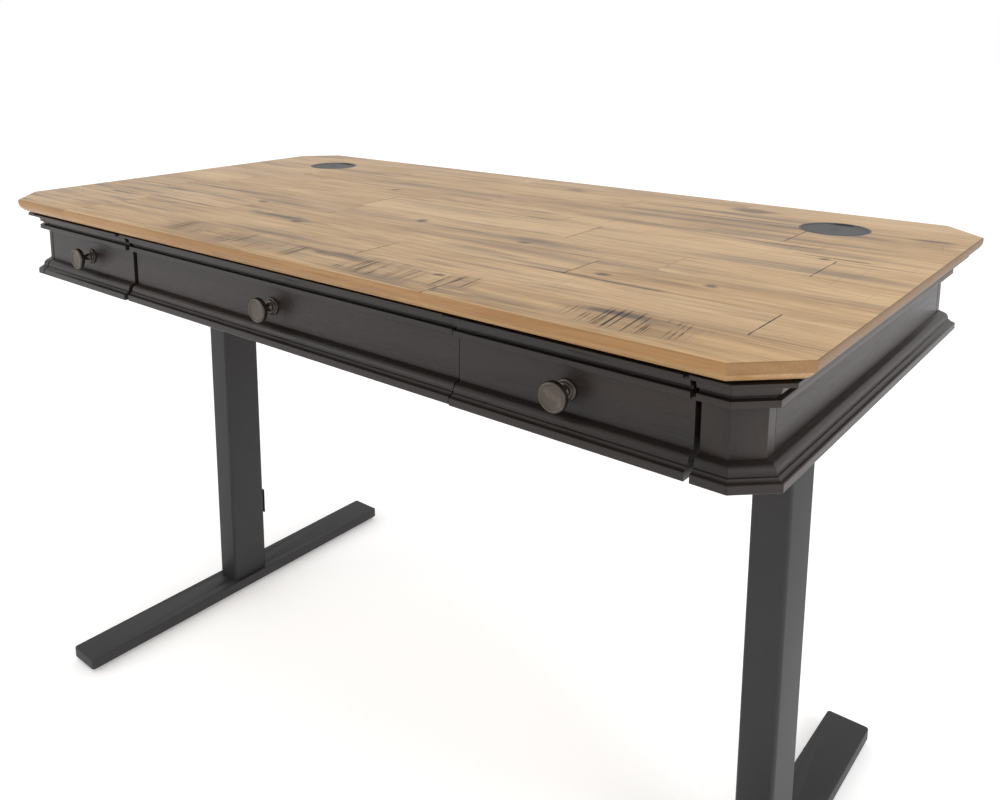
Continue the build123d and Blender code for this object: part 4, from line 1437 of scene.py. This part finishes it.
    def knob(self) -> None:
        """The turned knob, its screw inside the drawer, and the screws of the front."""
        low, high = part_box(f"knob_{self.name}")
        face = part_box(f"drawer_front_{self.name}")[0].y + self.crown_reach
        centre = Vector(((low.x + high.x) / 2, face, (low.z + high.z) / 2))
        profile = [(0, -14), (2, -14), (2, 0), (11.9, 0), (12.3, 0.4), (12.3, 1.3), (12.0, 1.9)]
        profile += [(11.3, 2.5), (10.2, 2.7), (9.9, 3.0), (9.8, 4.0), (9.4, 4.7), (8.4, 5.3), (6.4, 5.8)]
        profile += arc((6.4, 5.8), (4.55, 9.5), (4.5, 14.0), 8)
        profile += arc((4.5, 14.0), (6.1, 17.6), (9.5, 19.2), 6)
        profile += [(13.6, 20.0), (15.3, 20.5)]
        profile += arc((15.3, 20.5), (16.2, 21.1), (16.5, 22.2), 4)
        profile += [(16.5, 25.9)] + arc((16.5, 25.9), (16.1, 27.3), (15.0, 28.1), 5)
        profile += [(14.3, 28.2), (13.6, 28.1), (12.9, 27.5), (12.6, 27.1), (12.0, 26.9)]
        profile += [(6, 27.0), (0, 27.0)]
        piece = Piece(f"turned_knob_{self.name}")
        piece.turned([(r * MM, out * MM) for r, out in profile], centre, Vector((0, -1, 0)), 72)
        body = f"drawer_{self.name}"
        piece.done(self.finishes.bronze, body, "knob_metal", (f"knob_{self.name}",), angle=38)
        inside = face + self.board
        Screw(4.6 * MM, 2.4 * MM, Drive.CROSS).fit(
            f"knob_screw_{self.name}", [((centre.x, inside + 0.9 * MM, centre.z), (0, 1, 0))],
            self.finishes.zinc, body, "screw_steel",
        )
        washer = Piece(f"knob_washer_{self.name}")
        washer.turned(
            [(r * MM, z * MM) for r, z in ((0, 0), (6.4, 0), (6.4, 0.7), (6.2, 0.9), (0, 0.9))],
            Vector((centre.x, inside, centre.z)), Vector((0, 1, 0)),
        )
        washer.done(self.finishes.zinc, body, "screw_steel")
        box_low, box_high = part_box(f"drawer_box_{self.name}")
        reach, bottom, top = self.ply + 14 * MM, 18 * MM, 14 * MM
        seats = [
            ((x, inside, z), (0, 1, 0))
            for x in (box_low.x + reach, box_high.x - reach)
            for z in (box_low.z + bottom, box_high.z - top)
        ]
        Screw(4.0 * MM, 2.2 * MM, Drive.CROSS).fit(
            f"front_screws_{self.name}", seats, self.finishes.zinc, body, "screw_steel",
        )

    def build(self) -> None:
        """Builds the drawer."""
        self.front()
        self.box()
        self.runners()
        self.balls()
        self.knob()


# ---------------------------------------------------------------------------------------------
# The lift frame
# ---------------------------------------------------------------------------------------------
@dataclass
class Column:
    """A telescopic column on its foot, with the gearbox, motor and lead screw in its head."""

    finishes: Finishes
    side: str
    screw_radius: float = 6 * MM
    thread_depth: float = 0.9 * MM
    starts: int = 4
    lead: float = 16 * MM
    plain_end: float = 3 * MM
    ribs: int = 40

    def thread(self) -> None:
        """The lead screw as a core with four threads wound round it."""
        low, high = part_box(f"lead_screw_{self.side}")
        centre = Vector(((low.x + high.x) / 2, (low.y + high.y) / 2, low.z))
        length = high.z - low.z
        core = Piece("core")
        root = self.screw_radius - self.thread_depth
        profile = [(0, 0), (root - 1 * MM, 0), (root, 1 * MM), (root, length), (0, length)]
        core.turned(profile, Vector(), UP, 24)
        wound_length = length - 2 * self.plain_end
        recipe = Recipe(
            f"thread_recipe_{self.side}",
            {
                "Length": wound_length, "Turns": wound_length / self.lead, "Reach": root - 0.1 * MM,
                "Ridge": 0.92 * MM, "Starts": self.starts, "Finish": self.finishes.steel,
            },
        )
        helix = recipe.node(
            "GeometryNodeCurveSpiral",
            values={
                "Resolution": 20, "Rotations": recipe.given("Turns"), "Start Radius": recipe.given("Reach"),
                "End Radius": recipe.given("Reach"), "Height": recipe.given("Length"),
            },
        )
        ridge = recipe.node(
            "GeometryNodeCurvePrimitiveCircle", {"mode": "RADIUS"},
            {"Resolution": 6, "Radius": recipe.given("Ridge")},
        )
        wound = recipe.node(
            "GeometryNodeCurveToMesh",
            values={"Curve": helix.outputs[0], "Profile Curve": ridge.outputs[0], "Fill Caps": True},
        )
        ring = recipe.node(
            "GeometryNodeMeshLine", {"mode": "OFFSET"},
            {"Count": recipe.given("Starts"), "Offset": (0.0, 0.0, 0.0)},
        )
        index = Value(recipe, recipe.node("GeometryNodeInputIndex").outputs[0])
        share = recipe.math("DIVIDE", index * math.tau, Value(recipe, recipe.given("Starts")))
        turn = recipe.node("ShaderNodeCombineXYZ", values={"Z": share})
        placed = recipe.node(
            "GeometryNodeInstanceOnPoints",
            values={"Points": ring.outputs[0], "Instance": wound.outputs[0], "Rotation": turn.outputs[0]},
        )
        lifted = recipe.node(
            "GeometryNodeTransform",
            values={"Geometry": placed.outputs[0], "Translation": (0, 0, self.plain_end)},
        )
        joined = recipe.node("GeometryNodeJoinGeometry", values={"Geometry": lifted.outputs[0]})
        recipe.tree.links.new(recipe.given("Geometry"), joined.inputs[0])
        recipe.close(joined.outputs[0])
        made = recipe.mesh(core.mesh())
        made.transform(Matrix.Translation(centre))
        place(
            f"threaded_rod_{self.side}", made, self.finishes.steel, f"screw_{self.side}", "screw_steel",
            (f"lead_screw_{self.side}",), angle=50,
        )

    def pads(self) -> None:
        """Grip ribs round the levelling pads."""
        rib = Piece("rib")
        rib.block((-2.2 * MM, -0.5 * MM, 0.0), (2.2 * MM, 0.5 * MM, 0.5 * MM))
        black = self.finishes.black
        for end in ("front", "back"):
            node = f"leveller_{end}_{self.side}"
            low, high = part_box(node)
            radius = (high.x - low.x) / 2
            centre = Vector(((low.x + high.x) / 2, (low.y + high.y) / 2, low.z + 3.8 * MM))
            seats = []
            for number in range(self.ribs):
                turn = math.tau * number / self.ribs
                way = Vector((math.cos(turn), math.sin(turn), 0))
                seats.append((centre + way * (radius - 0.1 * MM), way))
            repeat(f"pad_ribs_{end}_{self.side}", rib, seats, black, f"{node}_pad", "black_plastic")
            dress(node, black)

    def build(self) -> None:
        """Dresses the tubes and the foot, and adds the screw and the pads."""
        coat = self.finishes.coat
        for node in (f"column_outer_{self.side}", f"column_inner_{self.side}", f"foot_{self.side}"):
            dress(node, coat, 0.4 * MM)
        self.thread()
        self.pads()


@dataclass
class Drivetrain:
    """Gearboxes, motors, brackets, beams and their fasteners."""

    finishes: Finishes
    bracket_screws: tuple = (-170, -90, 90, 170)
    beam_bolts: tuple = (-36, 36)
    head_half: float = 30 * MM
    head_face: float = 44 * MM
    rib_pitch: float = 7 * MM
    rib_level: float = 21 * MM
    motor_radius: float = 21 * MM
    motor_length: float = 110 * MM
    fins: int = 10

    def gearboxes(self) -> None:
        """Cast heads with ribs, a cover boss and socket screws."""
        dress("gearboxes", self.finishes.alloy, 1.6 * MM)
        low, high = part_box("gearboxes")
        ribs, screws = [], []
        bosses = Piece("gearbox_covers")
        for sign in SIDES.values():
            outer = sign * high.x
            centre = outer - sign * self.head_half
            for face in (-1, 1):
                y, z = face * self.head_face, low.z + self.rib_level
                rows = [centre + number * self.rib_pitch for number in range(-3, 4)]
                ribs += [((x, y, z), (0, face, 0)) for x in rows]
            middle = Vector((outer, 0, (low.z + high.z) / 2))
            profile = [(0, -1), (16, -1), (16, 1.2), (15, 2.0), (9, 2.0), (8.4, 1.2), (0, 1.2)]
            bosses.turned([(r * MM, z * MM) for r, z in profile], middle, Vector((sign, 0, 0)))
            reach_y, reach_z = 25 * MM, 13 * MM
            screws += [
                (middle + Vector((0, reach_y * math.cos(turn), reach_z * math.sin(turn))), (sign, 0, 0))
                for turn in (math.pi / 4, 3 * math.pi / 4, 5 * math.pi / 4, 7 * math.pi / 4)
            ]
        bosses.done(self.finishes.alloy, "desk", "gearbox_cast")
        rib = Piece("rib")
        rib.block((-0.9 * MM, -13 * MM, -0.5 * MM), (0.9 * MM, 13 * MM, 1.6 * MM))
        repeat("gearbox_ribs", rib, ribs, self.finishes.alloy, "desk", "gearbox_cast", 0.4 * MM)
        Screw(3.4 * MM, 3.2 * MM, Drive.HEXAGON).fit(
            "gearbox_screws", screws, self.finishes.steel, "desk", "screw_steel",
        )

    def motors(self) -> None:
        """Motor cans with rolled ends, and end caps with fins and a gland for the cable."""
        low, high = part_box("motors")
        cans, caps = Piece("motor_cans"), Piece("motor_end_caps")
        fins, bolts = [], []
        z = (low.z + high.z) / 2
        r = self.motor_radius
        length = self.motor_length
        for sign in SIDES.values():
            start = Vector((sign * high.x, 0, z))
            way = Vector((-sign, 0, 0))
            profile = [
                (0, 0), (r - 1.6 * MM, 0), (r - 0.4 * MM, 0.4 * MM), (r, 1.6 * MM), (r, 9 * MM),
                (r - 0.7 * MM, 9.6 * MM), (r - 0.7 * MM, 11.6 * MM), (r, 12.2 * MM), (r, 86 * MM),
                (r - 0.7 * MM, 86.6 * MM), (r - 0.7 * MM, 88 * MM), (0, 88 * MM),
            ]
            cans.turned(profile, start, way, 64)
            profile = [
                (0, 88.05 * MM), (r - 0.9 * MM, 88.05 * MM), (r - 0.5 * MM, 89 * MM),
                (r - 0.5 * MM, 103 * MM), (r - 2.2 * MM, 105.2 * MM), (13 * MM, 105.8 * MM),
                (12 * MM, 109 * MM), (11 * MM, length), (5.2 * MM, length), (4.8 * MM, length + 5 * MM),
                (3.4 * MM, length + 8 * MM), (0, length + 8 * MM),
            ]
            caps.turned(profile, start, way, 64)
            for number in range(self.fins):
                turn = math.tau * number / self.fins
                side = Vector((0, math.cos(turn), math.sin(turn)))
                fins.append((start + way * 96 * MM + side * (r - 0.7 * MM), side))
            bolts += [
                (start + way * 105.4 * MM + Vector((0, y * MM, 0)), way) for y in (-15.6, 15.6)
            ]
        cans.done(self.finishes.enamel, "desk", "motor_paint", ("motors",))
        caps.done(self.finishes.black, "desk", "black_plastic")
        fin = Piece("fin")
        fin.block((-4 * MM, -1.1 * MM, -0.2 * MM), (4 * MM, 1.1 * MM, 0.6 * MM))
        repeat("motor_cap_fins", fin, fins, self.finishes.black, "desk", "black_plastic", 0.25 * MM)
        Screw(2.4 * MM, 1.8 * MM, Drive.CROSS).fit(
            "motor_screws", bolts, self.finishes.zinc, "desk", "screw_steel",
        )

    def frame_fixings(self) -> None:
        """Pan head screws up through the brackets, and bolts through the beam ends."""
        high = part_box("top_brackets")[1]
        web = high.z - 2.5 * MM
        centre = high.x - self.head_half
        seats = [
            ((sign * centre, y * MM, web), (0, 0, -1))
            for sign in SIDES.values() for y in self.bracket_screws
        ]
        Screw(4.5 * MM, 2.8 * MM, Drive.CROSS, 2.1 * MM, 14 * MM).fit(
            "wood_screws", seats, self.finishes.zinc, "desk", "screw_steel", ("bracket_screws",),
        )
        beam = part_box("crossbeams")
        level = (beam[0].z + beam[1].z) / 2
        bolts = [
            ((sign * high.x, y * MM, level), (sign, 0, 0))
            for sign in SIDES.values() for y in self.beam_bolts
        ]
        Screw(4.2 * MM, 3.0 * MM, Drive.HEXAGON).fit(
            "beam_bolts", bolts, self.finishes.steel, "desk", "screw_steel",
        )

    def build(self) -> None:
        """Builds the drive and the frame under the top."""
        coat, steel = self.finishes.coat, self.finishes.steel
        dress("top_brackets", coat, 0.4 * MM)
        dress("crossbeams", coat, 0.6 * MM)
        dress("column_base_plates", coat)
        dress("foot_bolts", self.finishes.zinc)
        dress("nut_tubes", steel)
        dress("drive_nuts", self.finishes.brass)
        dress("guide_bushes", self.finishes.black)
        dress("inner_glides", self.finishes.black)
        dress("cabinet_runners", self.finishes.zinc, 0.25 * MM)
        self.gearboxes()
        self.motors()
        self.frame_fixings()


# ---------------------------------------------------------------------------------------------
# Electrics
# ---------------------------------------------------------------------------------------------
@dataclass
class Electrics:
    """The control box, its inlet and plugs, the handset and the cables."""

    finishes: Finishes
    # where the cables enter the control box: the handset's and the right motor's at its front, and the
    # left motor's at its left side
    handset_plug: tuple = (22 * MM, 802 * MM)
    right_plug: tuple = (250 * MM, 803 * MM)
    left_plug: tuple = (150 * MM, 806 * MM)
    # a plug's housing and its latch: half its width, from and to along the cable, and from and to in
    # height, in millimetres
    plug_blocks: tuple = ((5.5, -9, 1, -4.2, 4.2), (2.2, -12, -3, -4.8, -4.3))
    blade_levels: tuple = (801.4 * MM, 805.6 * MM)
    louvres: int = 14
    louvre_start: float = 34
    louvre_pitch: float = 6.4

    def control_box(self) -> None:
        """A housing in two parts, with louvres, ears and screws."""
        low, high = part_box("control_box")
        black = self.finishes.black

        def slab(inset: float, level: float, corner: float) -> list:
            """A rounded rectangle at a height."""
            points = []
            x, y = high.x - inset - corner, high.y - inset - corner
            left, front = low.x + inset + corner, low.y + inset + corner
            for cx, cy, start in ((x, y, 0), (left, y, 1), (left, front, 2), (x, front, 3)):
                for step in range(7):
                    turn = (start + step / 6) * math.pi / 2
                    points.append((cx + corner * math.cos(turn), cy + corner * math.sin(turn), level))
            return points

        corner = 5 * MM
        split = low.z + 19 * MM
        tray = Piece("control_box_tray")
        levels = [(2.4, low.z), (0.8, low.z + 0.8 * MM), (0.0, low.z + 2.4 * MM), (0.0, split)]
        tray.loft([slab(inset * MM, level, corner) for inset, level in levels])
        tray.done(black, "desk", "black_plastic", ("control_box",), angle=40)
        lid = Piece("control_box_lid")
        levels = [
            (0.9, split + 0.02 * MM), (0.9, split + 0.6 * MM), (0.2, split + 0.62 * MM), (0.2, high.z),
        ]
        lid.loft([slab(inset * MM, level, corner) for inset, level in levels])
        lid.done(black, "desk", "black_plastic", angle=40)
        louvre = Piece("louvre")
        louvre.block((-1.1 * MM, -15 * MM, -0.3 * MM), (1.1 * MM, 15 * MM, 0.9 * MM))
        middle = (low.y + high.y) / 2
        rows = [low.x + (self.louvre_start + self.louvre_pitch * n) * MM for n in range(self.louvres)]
        seats = [((x, middle, low.z + 0.2 * MM), (0, 0, -1)) for x in rows]
        repeat("control_box_louvres", louvre, seats, black, "desk", "black_plastic", 0.45 * MM)
        ears = Piece("control_box_ears")
        for x, sign in ((low.x, -1), (high.x, 1)):
            for y in (low.y + 12 * MM, high.y - 12 * MM):
                far = x + sign * 13 * MM
                root = x - sign * 1 * MM
                ears.block(
                    (min(root, far), y - 7 * MM, high.z - 3 * MM),
                    (max(root, far), y + 7 * MM, high.z - 0.1 * MM),
                )
        ears.done(black, "desk", "black_plastic", edge=0.8 * MM)
        seats = [
            ((x, y, high.z - 3 * MM), (0, 0, -1))
            for x in (low.x - 7.5 * MM, high.x + 7.5 * MM) for y in (low.y + 12 * MM, high.y - 12 * MM)
        ]
        seats += [
            ((x, y, low.z + 0.1 * MM), (0, 0, -1))
            for x in (low.x + 9 * MM, high.x - 9 * MM) for y in (low.y + 9 * MM, high.y - 9 * MM)
        ]
        Screw(3.4 * MM, 2.0 * MM, Drive.CROSS).fit(
            "control_box_screws", seats, self.finishes.zinc, "desk", "screw_steel",
        )

    def plugs(self) -> None:
        """Plugs where the cables enter the control box, and the blades of the mains inlet."""
        low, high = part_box("control_box")
        plugs = Piece("cable_plugs")
        for x, z in ((high.x - self.handset_plug[0], self.handset_plug[1]), self.right_plug):
            for half, near, far, bottom, top in self.plug_blocks:
                plugs.block(
                    (x - half * MM, low.y + near * MM, z + bottom * MM),
                    (x + half * MM, low.y + far * MM, z + top * MM),
                )
        y, z = self.left_plug
        for half, near, far, bottom, top in self.plug_blocks:
            plugs.block(
                (low.x + near * MM, y - half * MM, z + bottom * MM),
                (low.x + far * MM, y + half * MM, z + top * MM),
            )
        plugs.done(self.finishes.black, "desk", "black_plastic", edge=0.5 * MM)
        blades = Piece("inlet_blades")
        end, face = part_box("mains_inlet")
        bottom, top = self.blade_levels
        for shift in (-7, 0, 7):
            y = (end.y + face.y) / 2 + shift * MM
            blades.block(
                (end.x + 3 * MM, y - 1.05 * MM, bottom), (face.x - 1.9 * MM, y + 1.05 * MM, top),
            )
        blades.done(self.finishes.zinc, "desk", "screw_steel", edge=0.2 * MM)

    def handset(self) -> None:
        """The pad, its buttons and a raised arrow on each."""
        dress("handset", self.finishes.black)
        for name, sign in (("up", -1), ("down", 1)):
            node = f"{name}_button"
            dress(node, self.finishes.rubber)
            low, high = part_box(node)
            x, y = (low.x + high.x) / 2, (low.y + high.y) / 2
            arrow = Piece(f"{name}_arrow")
            tip, wing = 2.3 * MM, 2.0 * MM
            tail = y - sign * tip * 0.6
            outline = [(x, y + sign * tip), (x - wing, tail), (x + wing, tail)]
            levels = (low.z - 0.12 * MM, low.z + 0.1 * MM)
            arrow.loft([[(px, py, level) for px, py in outline] for level in levels])
            arrow.done(self.finishes.mark, f"{name}_key", "button_rubber")

    def build(self) -> None:
        """Builds the electrics."""
        self.control_box()
        dress("mains_inlet", self.finishes.black, 0.3 * MM)
        self.plugs()
        self.handset()
        dress("handset_cable", self.finishes.jacket)
        dress("motor_cables", self.finishes.jacket)
        dress("cable_clip", self.finishes.black, 0.4 * MM)


# ---------------------------------------------------------------------------------------------
# Studio
# ---------------------------------------------------------------------------------------------
@dataclass
class Studio:
    """The floor, the lights and the camera."""

    eye: tuple = (0.9448, -1.1057, 1.1244)
    yaw: float = 40.55
    pitch: float = -10.02
    roll: float = -0.28
    lens: float = 34.2
    shift: tuple = (0.057, -0.2008)
    sensor: float = 36.0
    clip: tuple = (0.05, 60.0)
    floor_reach: float = 30.0
    floor_colour: tuple = (0.93, 0.93, 0.93, 1)
    floor_glow: float = 0.22
    white: tuple = (1, 1, 1, 1)
    sky: float = 1.0
    # each light's name, place, target, two sides and watts
    lights: tuple = (
        ("right_softbox", (3.4, -0.2, 1.6), (0, 0, 0.6), (1.8, 2.2), 40),
        ("left_softbox", (-2.6, -3.0, 1.2), (-0.4, 0, 0.5), (1.6, 1.6), 20),
    )

    def camera(self) -> None:
        """A camera near the right front corner that looks a little down, framed with a shift."""
        data = bpy.data.cameras.new("camera")
        data.lens, data.sensor_width = self.lens, self.sensor
        data.shift_x, data.shift_y = self.shift
        data.clip_start, data.clip_end = self.clip
        camera = bpy.data.objects.new("camera", data)
        aim = Matrix.Rotation(math.radians(self.yaw), 4, "Z")
        aim = aim @ Matrix.Rotation(math.radians(90 + self.pitch), 4, "X")
        aim = aim @ Matrix.Rotation(math.radians(self.roll), 4, "Z")
        camera.matrix_world = Matrix.Translation(self.eye) @ aim
        bpy.context.scene.collection.objects.link(camera)
        bpy.context.scene.camera = camera

    def floor(self) -> None:
        """A wide pale floor."""
        plane = Piece("floor")
        reach = self.floor_reach
        corners = [(x * reach, y * reach, 0) for x, y in ((-1, -1), (1, -1), (1, 1), (-1, 1))]
        plane.add(corners, [[0, 1, 2, 3]])
        mesh = plane.mesh()
        mesh.materials.append(Shader("pale_floor").dress(
            base_color=self.floor_colour, roughness=0.85, specular_ior_level=0.1,
            emission_color=self.white, emission_strength=self.floor_glow,
        ))
        floor = bpy.data.objects.new("floor", mesh)
        bpy.context.scene.collection.objects.link(floor)

    def light(self, name: str, spot: tuple, target: tuple, size: tuple, power: float) -> None:
        """A soft rectangular light aimed at a point.

        Args:
            name: its name.
            spot: where it is.
            target: where it points.
            size: its two sides.
            power: its power in watts.
        """
        data = bpy.data.lights.new(name, "AREA")
        data.shape, data.size, data.size_y, data.energy = "RECTANGLE", size[0], size[1], power
        lamp = bpy.data.objects.new(name, data)
        way = Vector(target) - Vector(spot)
        lamp.matrix_world = Matrix.Translation(spot) @ way.to_track_quat("-Z", "Y").to_matrix().to_4x4()
        bpy.context.scene.collection.objects.link(lamp)

    def build(self) -> None:
        """Sets up the room."""
        world = bpy.data.worlds.new("studio")
        world.use_nodes = True
        background = world.node_tree.nodes["Background"]
        background.inputs["Color"].default_value = self.white
        background.inputs["Strength"].default_value = self.sky
        bpy.context.scene.world = world
        bpy.context.scene.view_settings.view_transform = "Standard"
        self.camera()
        self.floor()
        for light in self.lights:
            self.light(*light)


def main() -> None:
    """Builds the desk around the CAD frame, and the room."""
    logging.basicConfig(level=logging.INFO, format="%(name)s: %(message)s")
    finishes = Finishes()
    Desktop(finishes).build()
    for side in SIDES:
        Grommet(finishes, side).build()
    dress("grommet_liners", finishes.ridge)
    Apron(finishes).build()
    for name in DRAWERS:
        Drawer(finishes, name).build()
    for side in SIDES:
        Column(finishes, side).build()
    Drivetrain(finishes).build()
    Electrics(finishes).build()
    Studio().build()


if __name__ == "__main__":
    main()
